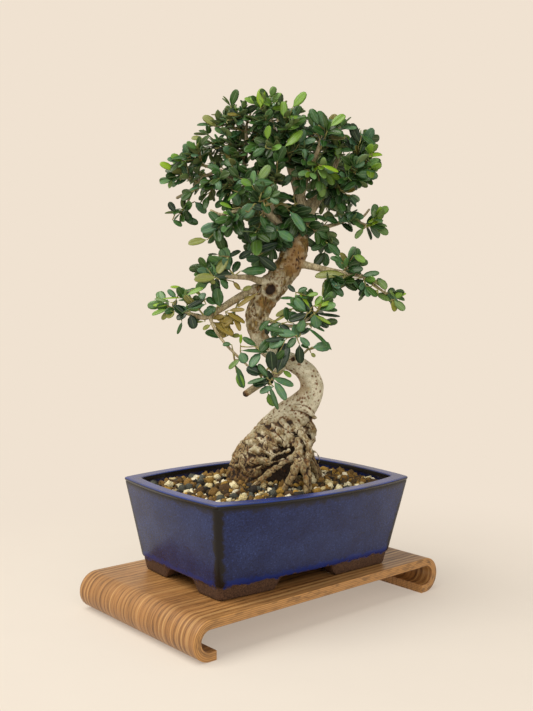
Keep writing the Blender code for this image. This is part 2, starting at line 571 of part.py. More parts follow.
def leaf_is_free(points, obstacles):
    """True if a slightly swollen leaf, from a little way out of its foot, meets nothing."""
    inner = [points[k].lerp(points[k + 4], LEAF_TESTED_FROM) for k in range(4)] + points[4:]
    low = Vector([min(p[i] for p in inner) for i in range(3)])
    high = Vector([max(p[i] for p in inner) for i in range(3)])
    mine = None
    for box_low, box_high, surface in obstacles:
        if all(low[i] <= box_high[i] and box_low[i] <= high[i] for i in range(3)):
            mine = mine or surface_tree(inner, [(3, 2, 1, 0)] + LEAF_FACES)
            if mine.overlap(surface):
                return False
    return True


def obstacle(points, faces):
    low = [min(p[i] for p in points) for i in range(3)]
    high = [max(p[i] for p in points) for i in range(3)]
    return low, high, surface_tree(points, faces)


def is_clear(point, wood):
    """True for a point outside the wood and at least the gap away from it."""
    place, normal, _, distance = wood.find_nearest(point)
    return distance >= GAP and (point - place).dot(normal) > 0


def twig_ends(foot, tip, leaf_length, centres, wood):
    """A twig starts just outside the wood, on the way from the nearest centre line to the tip of
    its last leaf, and ends where that leaf begins."""
    centre = min(centres, key=lambda c: (c - foot).length_squared)
    heading = (tip - centre).normalized()
    start = wood.ray_cast(centre, heading)[0] or centre
    side = heading.orthogonal().normalized() * TWIG_RADIUS * TWIG_CORNER
    around = [Vector(), side, -side, heading.cross(side), -heading.cross(side)]
    while not all(is_clear(start + offset, wood) for offset in around):
        start += heading * SEATING_STEP
    reach = (tip - start).length
    return start, start + (tip - start) * max(1 - TIP_TRIM * leaf_length / reach, SHORTEST_TWIG)


def twig_rings(start, end, sag, pairs, first=0.0, swell=0.0):
    """Square rings along a twig: one at its foot, two at each pair of leaves and one at its end."""
    length = (end - start).length
    middle = start.lerp(end, 0.5) - Vector((0, 0, sag * length))

    def place(u):
        return start * (1 - u) ** 2 + middle * 2 * u * (1 - u) + end * u**2

    half = NODE_LENGTH / 2 / length
    stations = [first]
    for k in range(pairs):
        at = FIRST_PAIR_AT + (1 - 2 * half - FIRST_PAIR_AT) * k / max(pairs - 1, 1)
        stations += [at - half, at + half]
    stations.append(1.0)
    rings, headings = [], []
    heading = (place(0.05) - place(0)).normalized()
    side = heading.cross(Vector((0, 0, 1)))
    side = side.normalized() if side.length > 0.1 else heading.orthogonal().normalized()
    for u in stations:
        turned = (place(min(u + 0.02, 1)) - place(max(u - 0.02, 0))).normalized()
        side.rotate(heading.rotation_difference(turned))
        heading = turned
        other = heading.cross(side)
        radius = TWIG_RADIUS * (TWIG_TAPER[0] + (TWIG_TAPER[1] - TWIG_TAPER[0]) * u) + swell
        rings.append([place(u) + (side * a + other * b) * radius for a, b in ((1, 1), (-1, 1), (-1, -1), (1, -1))])
        headings.append(heading.copy())
    return rings, headings


def grow_leaf(corners, heading, outward, length, spread, chance, obstacles):
    """The first of a few tries at a leaf that meets nothing, or None."""
    across = (corners[1] - corners[0]).normalized()
    base = chance.uniform(-0.2, 0.2)
    for turn, size in LEAF_TRIES:
        angle = spread + base + turn
        direction = heading * math.cos(angle) + outward * math.sin(angle)
        flat = (across - direction * across.dot(direction)).normalized()
        swollen = leaf_points(corners, direction.normalized(), flat, length * size, GAP)
        if leaf_is_free(swollen, obstacles):
            return leaf_points(corners, direction.normalized(), flat, length * size)
    return None


def build_spray(name, rings, headings, pairs, leaf_length, chance, obstacles, finish):
    """One twig with its opposite pairs of leaves, each pair turned a quarter from the last."""
    points = [p for ring in rings for p in ring]
    faces = [(3, 2, 1, 0)]
    for r in range(len(rings) - 1):
        is_node = r % 2 == 1
        for k in range(4):
            after = (k + 1) % 4
            corners = [r * 4 + k, r * 4 + after, (r + 1) * 4 + after, (r + 1) * 4 + k]
            pair = (r - 1) // 2
            if is_node and k % 2 == pair % 2:
                places = [points[c] for c in corners]
                outward = (sum(places, Vector()) / 4 - (sum(rings[r], Vector()) + sum(rings[r + 1], Vector())) / 8)
                length = leaf_length * MM * (1.05 - 0.12 * abs(pair - 1)) * chance.uniform(0.9, 1.1)
                leaf = grow_leaf(
                    places, headings[r], outward.normalized(), length, LEAF_SPREAD, chance, obstacles
                )
                if leaf:
                    first = len(points)
                    points += leaf[4:]
                    index = corners + list(range(first, first + 5))
                    faces += [tuple(index[v] for v in face) for face in LEAF_FACES]
                    obstacles.append(obstacle(leaf, [(3, 2, 1, 0)] + LEAF_FACES))
                    continue
            faces.append(tuple(corners))
    last = (len(rings) - 1) * 4
    corners = [last, last + 1, last + 2, last + 3]
    places = [points[c] for c in corners]
    length = END_LEAF_SHARE * leaf_length * MM
    leaf = grow_leaf(places, headings[-1], headings[-1].orthogonal(), length, 0.0, chance, obstacles)
    if leaf:
        first = len(points)
        points += leaf[4:]
        index = corners + list(range(first, first + 5))
        faces += [tuple(index[v] for v in face) for face in LEAF_FACES]
        obstacles.append(obstacle(leaf, [(3, 2, 1, 0)] + LEAF_FACES))
    else:
        faces.append(tuple(corners))
    return mesh_object(f"spray_{name}", points, faces, finish)


def twig_shape(start, end, pairs, obstacles):
    """The least change to a twig's foot and sag with which it meets neither wood nor other twigs."""
    step = (end - start).normalized() * SEATING_STEP
    behind = -BEHIND_FOOT / (end - start).length
    for nudge in range(MOST_NUDGES):
        for sag in TWIG_SAGS:
            foot = start + step * nudge
            far = obstacle(*loft(twig_rings(foot, end, sag, pairs, FOOT_SHARE, GAP)[0]))
            near = obstacle(*loft(twig_rings(foot, end, sag, pairs, behind, GAP / 2)[0]))
            if not any(far[2].overlap(other[2]) or near[2].overlap(other[2]) for other in obstacles):
                return foot, sag
    return start, 0.0


def build_sprays(tree, centres, finish):
    """All twigs are laid out first, then each gets the leaves that there is room for."""
    bpy.context.view_layer.update()
    wood = BVHTree.FromObject(tree, bpy.context.evaluated_depsgraph_get())
    everything = (Vector((-1, -1, -1)), Vector((1, 1, 1)), wood)
    obstacles = [everything]
    laid, twigs = [], []
    for name, foot, tip, pairs, leaf_length in SPRAYS:
        start, end = twig_ends(tree_point(*foot), tree_point(*tip), leaf_length * MM, centres, wood)
        room = (1 - FIRST_PAIR_AT) * (end - start).length - NODE_LENGTH
        pairs = min(pairs, 1 + int(room / LEAST_PAIR_SPACING))
        start, sag = twig_shape(start, end, pairs, obstacles + twigs)
        rings, headings = twig_rings(start, end, sag, pairs)
        laid.append((name, rings, headings, pairs, leaf_length))
        twigs.append(obstacle(*loft(rings)))
    for i, (name, rings, headings, pairs, leaf_length) in enumerate(laid):
        chance = random.Random(SEED + i)
        near = obstacles + twigs[:i] + twigs[i + 1 :]
        known = len(near)
        build_spray(name, rings, headings, pairs, leaf_length, chance, near, finish)
        obstacles += near[known:]


def main():
    clear_scene()
    build_stand(material("walnut_plywood", (0.40, 0.20, 0.08), 0.5))
    build_pot(material("glazed_stoneware", (0.05, 0.06, 0.18), 0.3))
    mesh_finish = material("black_plastic_mesh", (0.03, 0.03, 0.03), 0.6)
    wire_finish = material("aluminium_wire", (0.45, 0.33, 0.22), 0.4, 1.0)
    for name, side in (("left", -1), ("right", 1)):
        build_screen(f"drainage_screen_{name}", side * DRAIN_AT, mesh_finish)
        build_wire(f"screen_wire_{name}", side * DRAIN_AT, wire_finish)
    build_soil(material("bonsai_soil", (0.30, 0.18, 0.07), 0.9))
    tree, centres = build_tree(material("olive_bark", (0.45, 0.38, 0.27), 0.85))
    build_sprays(tree, centres, material("olive_leaf", (0.05, 0.13, 0.05), 0.45))


main()
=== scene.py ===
# Looks of an olive bonsai: bark, leaves, baked clay soil, a blue glazed pot and a bent plywood stand.
# Dictionaries and tables are in millimetres and degrees, meshes in metres, +Z up.
# The tree's own places are as seen from its front: (across to the right, height, towards the viewer).

import math
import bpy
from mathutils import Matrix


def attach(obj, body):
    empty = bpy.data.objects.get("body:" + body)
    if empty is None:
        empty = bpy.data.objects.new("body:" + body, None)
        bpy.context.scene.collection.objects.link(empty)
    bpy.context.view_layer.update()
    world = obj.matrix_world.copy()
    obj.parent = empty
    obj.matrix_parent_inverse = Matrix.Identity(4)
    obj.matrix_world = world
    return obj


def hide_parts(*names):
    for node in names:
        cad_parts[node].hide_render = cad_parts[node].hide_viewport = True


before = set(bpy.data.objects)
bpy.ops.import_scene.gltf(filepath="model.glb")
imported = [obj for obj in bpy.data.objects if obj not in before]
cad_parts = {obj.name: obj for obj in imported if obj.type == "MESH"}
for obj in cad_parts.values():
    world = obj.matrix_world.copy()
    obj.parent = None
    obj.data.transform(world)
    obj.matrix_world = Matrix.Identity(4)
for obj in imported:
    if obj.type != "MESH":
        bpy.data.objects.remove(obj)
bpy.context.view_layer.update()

from types import SimpleNamespace

import bmesh
import bpy
import numpy as np
from mathutils import Matrix, Vector
from mathutils.bvhtree import BVHTree

mm = 0.001
treeFront = math.radians(-42.0)
acrossAxis = np.array([math.cos(treeFront), math.sin(treeFront), 0.0])
towardsAxis = np.array([math.sin(treeFront), -math.cos(treeFront), 0.0])
upAxis = np.array([0.0, 0.0, 1.0])


def treePlace(rows):
    # across, height and towards in mm become a world point in metres: the sum of the three axes times them
    rows = np.asarray(rows, float)
    return (rows[..., :1] * acrossAxis + rows[..., 1:2] * upAxis + rows[..., 2:3] * towardsAxis) * mm


def linearColour(hexText):
    # sRGB to linear: a value up to 0.04045 over 12.92, a higher one by the 2.4 power curve
    value = np.array([int(hexText[k : k + 2], 16) for k in (1, 3, 5)]) / 255
    linear = np.where(value <= 0.04045, value / 12.92, ((value + 0.055) / 1.055) ** 2.4)
    return (*linear.tolist(), 1.0)


def unit(vectors):
    # each vector over its own length
    return vectors / np.maximum(np.linalg.norm(vectors, axis=-1, keepdims=True), 1e-12)


def smoothStep(values, low, high):
    # 0 below low, 1 above high, and 3u^2 - 2u^3 between them
    share = np.clip((values - low) / (high - low), 0, 1)
    return share * share * (3 - 2 * share)


def noise(points, cell, seed):
    # value noise from -1 to 1: a random number at each corner of a lattice, blended smoothly between the 8
    scaled = points / cell
    base = np.floor(scaled).astype(np.int64)
    part = scaled - base
    part = part * part * (3 - 2 * part)
    total = np.zeros(len(points))
    for corner in range(8):
        step = np.array([corner & 1, corner >> 1 & 1, corner >> 2 & 1])
        key = (base + step) @ np.array([73856093, 19349663, 83492791]) + seed * 7919
        key = (key ^ (key >> 13)) * 1274126177 & 0xFFFFFFFF
        value = ((key ^ (key >> 15)) & 0xFFFF) / 65535
        total += value * np.prod(np.where(step == 1, part, 1 - part), axis=1)
    return total * 2 - 1


def smoothCurve(stations, steps):
    # Catmull-Rom: between two stations a cubic whose end slopes come from their neighbours
    rows = np.asarray(stations, float)
    padded = np.vstack([2 * rows[0] - rows[1], rows, 2 * rows[-1] - rows[-2]])
    share = np.linspace(0, 1, steps, endpoint=False)[None, :, None]
    a, b, c, d = padded[:-3, None], padded[1:-2, None], padded[2:-1, None], padded[3:, None]
    curve = 2 * b + (c - a) * share + (2 * a - 5 * b + 4 * c - d) * share**2
    curve = (curve + (3 * b - a - 3 * c + d) * share**3) / 2
    return np.vstack([curve.reshape(-1, rows.shape[1]), rows[-1:]])


def closedTubeFaces(rows, columns):
    # quads between neighbouring rings, and a fan at each end onto a pole: point 0 and the last point
    ring = 1 + np.arange(rows)[:, None] * columns + np.arange(columns)
    after = np.roll(ring, -1, axis=1)
    quads = np.stack([ring[:-1], after[:-1], after[1:], ring[1:]], -1).reshape(-1, 4)
    pole = rows * columns + 1
    first = np.stack([after[0], ring[0], np.zeros(columns, int)], -1)
    last = np.stack([ring[-1], after[-1], np.full(columns, pole)], -1)
    corners = np.concatenate([quads.ravel(), first.ravel(), last.ravel()])
    return corners, np.repeat([4, 3], [len(quads), 2 * columns])


def sweptTube(path, radii, sides):
    # a circle of radius r carried along the path, turned as little as possible, closed on a pole at each end
    along = unit(np.gradient(path, axis=0))
    side = np.cross(along[0], upAxis if abs(along[0][2]) < 0.9 else acrossAxis)  # never along the path
    sideways = []
    for tangent in along:
        side = unit(side - tangent * side.dot(tangent))
        sideways.append(side)
    sideways = np.array(sideways)
    other = np.cross(along, sideways)
    turn = 2 * math.pi * np.arange(sides) / sides
    ring = np.cos(turn)[None, :, None] * sideways[:, None] + np.sin(turn)[None, :, None] * other[:, None]
    rings = path[:, None] + ring * radii[:, None, None]
    first = path[:1] - along[:1] * radii[0] * 0.6
    last = path[-1:] + along[-1:] * radii[-1] * 0.6
    return np.vstack([first, rings.reshape(-1, 3), last]), *closedTubeFaces(len(path), sides)


def joined(shapes):
    # several shapes as one: the corner numbers of each are moved past the points before it
    offsets = np.cumsum([0] + [len(shape[0]) for shape in shapes[:-1]])
    points = np.vstack([shape[0] for shape in shapes])
    corners = np.concatenate([shape[1] + offset for shape, offset in zip(shapes, offsets)])
    return points, corners, np.concatenate([shape[2] for shape in shapes])


def meshFrom(name, points, corners, counts):
    # a mesh from points in metres, the faces' corners in one row, and the number of corners of each face
    mesh = bpy.data.meshes.new(name)
    mesh.vertices.add(len(points))
    mesh.vertices.foreach_set("co", np.ravel(points).astype(np.float32))
    mesh.loops.add(len(corners))
    mesh.loops.foreach_set("vertex_index", corners.astype(np.int32))
    mesh.polygons.add(len(counts))
    mesh.polygons.foreach_set("loop_start", (np.cumsum(counts) - counts).astype(np.int32))
    mesh.update(calc_edges=True)
    return mesh


def linkedObject(name, mesh):
    # an object for a mesh, a lamp or a camera, put into the scene
    made = bpy.data.objects.new(name, mesh)
    bpy.context.scene.collection.objects.link(made)
    return made


def meshAsShown(made):
    # a new mesh as the object's modifiers leave it
    state = bpy.context.evaluated_depsgraph_get()
    return bpy.data.meshes.new_from_object(made.evaluated_get(state), depsgraph=state)


def pointsOf(mesh):
    # a mesh's points as rows in metres
    points = np.zeros(len(mesh.vertices) * 3, np.float32)
    mesh.vertices.foreach_get("co", points)
    return points.reshape(-1, 3).astype(float)


def makePiece(name, mesh, finishes, nodes, marks=None, faceFinish=None, sharpAngle=None):
    # a finished piece: its mesh, its marks as attributes, its materials, its body and the nodes it stands for
    for mark, values in (marks or {}).items():
        kind, field = ("FLOAT", "value") if np.ndim(values) == 1 else ("FLOAT_VECTOR", "vector")
        mesh.attributes.new(mark, kind, "POINT").data.foreach_set(field, np.ravel(values).astype(np.float32))
    for finish in finishes:
        mesh.materials.append(finish)
    if faceFinish is not None:
        mesh.polygons.foreach_set("material_index", faceFinish.astype(np.int32))
    mesh.shade_smooth()
    if sharpAngle:
        mesh.set_sharp_from_angle(angle=math.radians(sharpAngle))
    made = linkedObject(name, mesh)
    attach(made, "root")
    if nodes:
        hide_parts(*nodes)
    return made


def shaderValue(value):
    # a colour given as hex text becomes linear, and anything else stays as it is
    return linearColour(value) if isinstance(value, str) else value


def setSockets(tree, node, sockets):
    # each socket gets a link from another node's output, or its own value
    for socket, value in sockets.items():
        if isinstance(value, bpy.types.NodeSocket):
            tree.links.new(value, node.inputs[socket])
        else:
            node.inputs[socket].default_value = shaderValue(value)


def addNode(tree, kind, inputs, out=0, stops=None, **settings):
    # one shader node with its settings, inputs and colour stops; its wanted output comes back
    node = tree.nodes.new("ShaderNode" + kind)
    for setting, value in settings.items():
        setattr(node, setting, value)
    setSockets(tree, node, inputs)
    if stops:
        band = node.color_ramp
        band.elements.remove(band.elements[1])
        band.elements[0].position, band.elements[0].color = stops[0][0], shaderValue(stops[0][1])
        for place, colour in stops[1:]:
            band.elements.new(place).color = shaderValue(colour)
    return node.outputs[out]


blended = {"out": 2, "data_type": "RGBA"}  # a Mix node that goes from one colour to another
tinted = {**blended, "blend_type": "MULTIPLY"}  # and one that darkens or tints the first by the second


def perMetre(size):
    # a noise's scale on coordinates in metres, for marks about this many mm wide
    return 1 / (size * mm)


def newMaterial(name):
    # an empty material with its shader, ready for its own nodes
    made = bpy.data.materials.new(name)
    made.use_nodes = True
    return made, made.node_tree, made.node_tree.nodes["Principled BSDF"]


# Stand: one board of walnut-faced plywood, steamed and bent under at both ends.

stand = {
    "length": 229, "width": 129, "rollRadius": 12.7, "board": 6.0, "lip": 4.6, "edgeRound": 0.5,
    "lipSteps": 5, "rollSteps": 41, "flatSteps": 40, "widthSteps": 60, "edgeSteps": 4, "sharp": 50,
    "darkStripe": "#64401F", "brownStripe": "#8C6134", "baseWood": "#A07342", "lightStreak": "#C29C66",
    "edgeVeneer": "#94683A", "edgeWood": "#B0844A", "edgePale": "#B5864C",
    "stripeSpacing": 1.7, "ringSpacing": 4.6, "waviness": 3.2, "pore": 0.7, "layer": 1.2,
}


def walnutPlywood():
    # oiled rotary-cut veneer: satin, with long dark stripes and fine open pores along the board's length,
    # and glued layers of light and dark veneer on the cut edges
    made, tree, shader = newMaterial("walnutPlywood")
    place = addNode(tree, "Attribute", {}, out="Vector", attribute_name="boardPlace")
    stripeCells = (6, perMetre(stand["stripeSpacing"]), 60)  # long along the board, narrow across it
    stretched = addNode(tree, "VectorMath", {0: place, 1: stripeCells}, operation="MULTIPLY")
    warp = addNode(tree, "VectorMath", {0: place, 1: (14, 40, 10)}, operation="MULTIPLY")
    bends = addNode(tree, "TexNoise", {"Vector": warp, "Scale": 1.0, "Detail": 2.0}, out="Color")
    waved = addNode(tree, "VectorMath", {0: bends, 1: (0, stand["waviness"], 0), 2: stretched},
                    operation="MULTIPLY_ADD")
    streaks = addNode(tree, "TexNoise", {"Vector": waved, "Scale": 0.6, "Detail": 3.0, "Roughness": 0.6})
    crosswise = addNode(tree, "SeparateXYZ", {"Vector": waved}, out="Y")
    ringTurn = 2 * math.pi * stand["stripeSpacing"] / stand["ringSpacing"]
    turns = addNode(tree, "Math", {0: crosswise, 1: ringTurn}, operation="MULTIPLY")
    ringWave = addNode(tree, "Math", {0: turns}, operation="SINE")
    rings = addNode(tree, "MapRange", {0: ringWave, 1: -1.0, 2: 1.0, 3: 0.13, 4: 0.24})
    stripes = addNode(tree, "Math", {0: streaks, 1: 0.6, 2: rings}, operation="MULTIPLY_ADD")
    striped = addNode(tree, "ValToRGB", {"Fac": stripes}, stops=[
        (0.34, stand["darkStripe"]), (0.42, stand["brownStripe"]), (0.52, stand["baseWood"]),
        (0.64, stand["lightStreak"])])
    poreCells = (90, perMetre(stand["pore"]), 300)
    fine = addNode(tree, "VectorMath", {0: place, 1: poreCells}, operation="MULTIPLY")
    pores = addNode(tree, "TexNoise", {"Vector": fine, "Scale": 1.0, "Detail": 2.0, "Roughness": 0.7})
    inStripe = addNode(tree, "MapRange", {0: stripes, 1: 0.4, 2: 0.54, 3: 0.35, 4: 0.85})
    poreMask = addNode(tree, "MapRange", {0: pores, 1: 0.4, 2: 0.52, 3: inStripe, 4: 1.05})
    wood = addNode(tree, "Mix", {0: 1.0, 6: striped, 7: poreMask}, **tinted)
    broad = addNode(tree, "TexNoise", {"Vector": warp, "Scale": 1.3, "Detail": 1.0})
    tint = addNode(tree, "MapRange", {0: broad, 1: 0.3, 2: 0.7, 3: 0.86, 4: 1.1})
    wood = addNode(tree, "Mix", {0: 1.0, 6: wood, 7: tint}, **tinted)
    edge = addNode(tree, "Attribute", {}, out="Fac", attribute_name="boardEdge")
    depth = addNode(tree, "SeparateXYZ", {"Vector": place}, out="Z")
    layerTurn = 2 * math.pi * perMetre(stand["layer"])
    layers = addNode(tree, "Math", {0: depth, 1: layerTurn}, operation="MULTIPLY")
    wave = addNode(tree, "Math", {0: layers}, operation="SINE")
    veneer = addNode(tree, "ValToRGB", {"Fac": addNode(tree, "MapRange", {0: wave, 1: -1.0, 2: 1.0})}, stops=[
        (0.2, stand["edgeVeneer"]), (0.5, stand["edgeWood"]), (0.9, stand["edgePale"])])
    veneer = addNode(tree, "Mix", {0: 1.0, 6: veneer, 7: poreMask}, **tinted)
    colour = addNode(tree, "Mix", {0: edge, 6: wood, 7: veneer}, **blended)
    bump = addNode(tree, "Bump", {"Height": pores, "Strength": 0.25, "Distance": 0.0002}, out="Normal")
    gloss = addNode(tree, "MapRange", {0: stripes, 1: 0.3, 2: 0.7, 3: 0.5, 4: 0.36})
    setSockets(tree, shader, {"Base Color": colour, "Roughness": gloss, "Normal": bump, "IOR": 1.5})
    return made


def boardSection(half):
    # the board's cut end, as distances across it and from its middle: flat faces and rounded edges
    edge, width = stand["edgeRound"], stand["width"] / 2
    corner = np.radians(np.linspace(0, 90, stand["edgeSteps"]))
    arc = np.stack([width - edge + edge * np.cos(corner), half - edge + edge * np.sin(corner)], -1)
    across = np.linspace(width - edge, edge - width, stand["widthSteps"])[1:-1]
    upper = np.vstack([arc, np.stack([across, np.full(len(across), half)], -1), arc[::-1] * (-1, 1)])
    return np.vstack([upper, -upper]).T


def buildStand():
    # the board's section carried along its middle line: lip, roll, flat, roll, lip
    half = stand["board"] / 2
    radius = stand["rollRadius"] - half
    turnAt = stand["length"] / 2 - stand["rollRadius"]
    lips = np.linspace(stand["lip"], 0, stand["lipSteps"])[:-1]
    lip = np.stack([-turnAt + lips, np.full(len(lips), stand["rollRadius"] - radius)], -1)
    turns = np.radians(np.linspace(270, 90, stand["rollSteps"]))
    roll = np.stack([-turnAt + radius * np.cos(turns), stand["rollRadius"] + radius * np.sin(turns)], -1)
    flat = np.linspace(-turnAt, 0, stand["flatSteps"])[1:]
    middle = np.stack([flat, np.full(len(flat), stand["rollRadius"] + radius)], -1)
    line = np.vstack([lip, roll, middle])
    line = np.vstack([line, line[-2::-1] * (-1, 1)])
    travelled = np.concatenate([[0], np.cumsum(np.linalg.norm(np.diff(line, axis=0), axis=1))])
    along = unit(np.gradient(line, axis=0))
    outward = np.stack([-along[:, 1], along[:, 0]], -1)
    crosswise, depth = boardSection(half)
    spread = line[:, None] + outward[:, None] * depth[None, :, None]
    rings = np.stack([spread[..., 0], np.broadcast_to(crosswise, spread.shape[:2]), spread[..., 1]], -1)
    rows, columns = rings.shape[:2]
    ends = rings[[0, -1]].mean(axis=1)
    points = np.vstack([ends[:1], rings.reshape(-1, 3), ends[1:]]) * mm
    mesh = meshFrom("standBoard", points, *closedTubeFaces(rows, columns))
    place = np.zeros((len(points), 3))
    place[1:-1] = np.column_stack(
        [np.repeat(travelled, columns), np.tile(crosswise, rows), np.tile(depth, rows)])
    place[-1, 0] = travelled[-1]
    cut = np.ones(len(points))
    cut[1:-1] = np.tile(np.abs(crosswise) > stand["width"] / 2 - stand["edgeRound"] * 0.7, rows)
    marks = {"boardPlace": place * mm, "boardEdge": cut}
    finish = walnutPlywood()
    makePiece("standBoard", mesh, [finish], ["stand"], marks, sharpAngle=stand["sharp"])
    print("stand:", len(mesh.polygons), "faces")


# Pot: press-moulded stoneware with a layered blue glaze, bare at the feet.

pot = {
    "centre": (-2.4, -3.4), "turn": -3.4, "rest": 25.7, "height": 64.0,
    "rim": (170, 112, 12.4, 4.5), "glazeFoot": (151.4, 93.4, 3.6, 1.5), "foot": (147, 88.8, 2.2, 1.0),
    "footHeight": 8.9, "footWall": 9.5, "wall": 7.0, "rimWall": 8.8, "rimDepth": 6.0, "cornerRound": 3.0,
    "underside": 8.5, "floor": 14.5, "notchHeight": 7.6,
    "longNotch": (28, 21, -3.5), "shortNotch": (20.8, 12, -2.5),  # half its foot, half its top, its shift
    "drainRadius": 8.0, "drainAt": 38.0, "drainSteps": 48, "drainCut": (4.0, 18.0), "sharp": 40,
    "unevenness": 0.12, "unevenCell": 14.0,
    # cobalt is a painted reflection of the sky on the rim's top
    "glaze": "#141F4A", "glazePale": "#212F5C", "glazeDeep": "#122A72", "skyReflectionCobalt": "#14307C",
    "topBlue": "#1E3066", "topBrown": "#2A2430", "rimBrown": "#17110F", "breakBrown": "#120D0B",
    "lipBlack": "#15130F", "clayDark": "#3C2A1E", "clay": "#5A4231", "clayPale": "#6E523C",
    "cloudSize": 16.67, "speckleSize": 1.111, "raggedSize": 4.545, "rippleSize": 2.857,
    # heights where the pooled glaze ends and the brown under the rim starts, and how far breaks reach
    "pool": (12.0, 13.6), "underRim": (57.0, 60.5), "edgeBand": (60.0, 61.0), "breaks": (2.8, 5.4),
    "clayLine": (8.4, 9.4), "wander": 1.6,
}
turned = math.radians(pot["turn"])


def glazedStoneware():
    # reduction-fired blue glaze: semi-gloss with fine light and dark speckles, thin and brown where it breaks
    # over edges, pooled and deep blue at the foot; the bare clay feet are dull and gritty
    made, tree, shader = newMaterial("glazedStoneware")
    marks = addNode(tree, "Attribute", {}, out="Vector", attribute_name="glazePlace")
    corner, height, onTop = addNode(tree, "SeparateXYZ", {"Vector": marks}).node.outputs[:]
    place = addNode(tree, "TexCoord", {}, out="Object")
    cloudScale, speckleScale, raggedScale, rippleScale = (
        perMetre(pot[size]) for size in ("cloudSize", "speckleSize", "raggedSize", "rippleSize"))
    cloud = addNode(tree, "TexNoise", {"Vector": place, "Scale": cloudScale, "Detail": 3.0})
    speckle = addNode(tree, "TexNoise", {
        "Vector": place, "Scale": speckleScale, "Detail": 2.0, "Roughness": 0.7})
    ragged = addNode(tree, "TexNoise", {"Vector": place, "Scale": raggedScale, "Detail": 2.0})
    ripple = addNode(tree, "TexNoise", {"Vector": place, "Scale": rippleScale, "Detail": 2.0})
    body = addNode(tree, "ValToRGB", {"Fac": cloud}, stops=[(0.3, pot["glaze"]), (0.7, pot["glazePale"])])
    speckled = addNode(tree, "ValToRGB", {"Fac": speckle}, stops=[
        (0.34, (0.45, 0.45, 0.5, 1)), (0.46, (0.9, 0.9, 0.95, 1)), (0.58, (1.05, 1.05, 1.05, 1)),
        (0.68, (2.4, 2.2, 2, 1))])
    body = addNode(tree, "Mix", {0: 1.0, 6: body, 7: speckled}, **tinted)
    wander = addNode(tree, "MapRange", {0: ragged, 1: 0.3, 2: 0.7, 3: -pot["wander"], 4: pot["wander"]})
    low = addNode(tree, "Math", {0: height, 1: wander}, operation="ADD")
    near = addNode(tree, "Math", {0: corner, 1: wander}, operation="ADD")
    for source, (start, end), (first, last), glaze in (
        (low, pot["pool"], (0.8, 0.0), pot["glazeDeep"]), (low, pot["underRim"], (0.0, 0.8), pot["rimBrown"]),
        (near, pot["breaks"], (1.0, 0.0), pot["breakBrown"]),
        (height, pot["edgeBand"], (0.0, 0.95), pot["lipBlack"]),
    ):
        share = addNode(tree, "MapRange", {0: source, 1: start, 2: end, 3: first, 4: last})
        body = addNode(tree, "Mix", {0: share, 6: body, 7: glaze}, **blended)
    # the rim's top: the glaze's own blue and brown, with brighter cobalt as a painted reflection of the sky
    isTop = addNode(tree, "Math", {0: onTop, 1: 0.5}, operation="GREATER_THAN")
    rimTopWithReflection = addNode(tree, "ValToRGB", {"Fac": cloud}, stops=[
        (0.35, pot["skyReflectionCobalt"]), (0.6, pot["topBlue"]), (0.75, pot["topBrown"])])
    body = addNode(tree, "Mix", {0: isTop, 6: body, 7: rimTopWithReflection}, **blended)
    isClay = addNode(tree, "MapRange", {0: low, 1: pot["clayLine"][0], 2: pot["clayLine"][1], 3: 1.0, 4: 0.0})
    clay = addNode(tree, "ValToRGB", {"Fac": speckle}, stops=[
        (0.35, pot["clayDark"]), (0.6, pot["clay"]), (0.75, pot["clayPale"])])
    colour = addNode(tree, "Mix", {0: isClay, 6: body, 7: clay}, **blended)
    rough = addNode(tree, "MapRange", {0: isClay, 3: 0.27, 4: 0.9})
    bump = addNode(tree, "Bump", {"Height": ripple, "Strength": 0.12, "Distance": 0.0004}, out="Normal")
    sockets = {"Base Color": colour, "Roughness": rough, "Normal": bump,
               "IOR": 1.5, "Specular IOR Level": 0.3}
    setSockets(tree, shader, sockets)
    return made


def potSection(length, width, longBow, shortBow, longSteps=96, shortSteps=60, cornerSteps=6):
    # a rectangle, anticlockwise: its sides bow out by bow*4u(1-u) and quadratic curves round its corners
    corners = np.array([(-1, -1), (1, -1), (1, 1), (-1, 1)]) * (length / 2, width / 2)
    pieces = []
    for k in range(4):
        start, end = corners[k], corners[(k + 1) % 4]
        span = np.linalg.norm(end - start)
        steps, bow = (longSteps, longBow) if k % 2 == 0 else (shortSteps, shortBow)
        outward = unit(np.array([(end - start)[1], -(end - start)[0]]))
        trim = pot["cornerRound"] / span
        share = np.linspace(trim, 1 - trim, steps + 1)[:, None]
        pieces.append(start + (end - start) * share + outward * bow * 4 * share * (1 - share))
    outline = []
    for k in range(4):
        u = (np.arange(1, cornerSteps) / cornerSteps)[:, None]
        first, last = pieces[k][-1], pieces[(k + 1) % 4][0]
        turn = first * (1 - u) ** 2 + corners[(k + 1) % 4] * 2 * u * (1 - u) + last * u**2
        outline += [pieces[k], turn]
    return np.vstack(outline)


def potSize(height, inset):
    # the wall leans out evenly from the foot to the rim: each measure runs straight between the two
    share = (height - pot["footHeight"]) / (pot["height"] - pot["footHeight"])
    size = np.array(pot["glazeFoot"]) + (np.array(pot["rim"]) - np.array(pot["glazeFoot"])) * share
    return size - np.array([2 * inset, 2 * inset, 0, 0])


def notchRise(across, notch):
    # the gap between two feet: nothing outside it, then half a cosine up to its flat top
    halfFoot, halfTop, shift = notch
    share = np.clip((halfFoot - np.abs(across - shift)) / (halfFoot - halfTop), 0, 1)
    return pot["notchHeight"] * (0.5 - 0.5 * np.cos(math.pi * share))


cosine, sine = math.cos(turned), math.sin(turned)
potTurn = np.array([[cosine, sine, 0], [-sine, cosine, 0], [0, 0, 1]])
potPlace = np.array([*pot["centre"], pot["rest"]])


def inPot(points):
    # a place in the pot's own axes, turned and moved to where the pot stands, in metres
    return (points @ potTurn + potPlace) * mm


def outOfPot(points):
    # the other way round: a place in metres in the pot's own axes
    return (points / mm - potPlace) @ potTurn.T


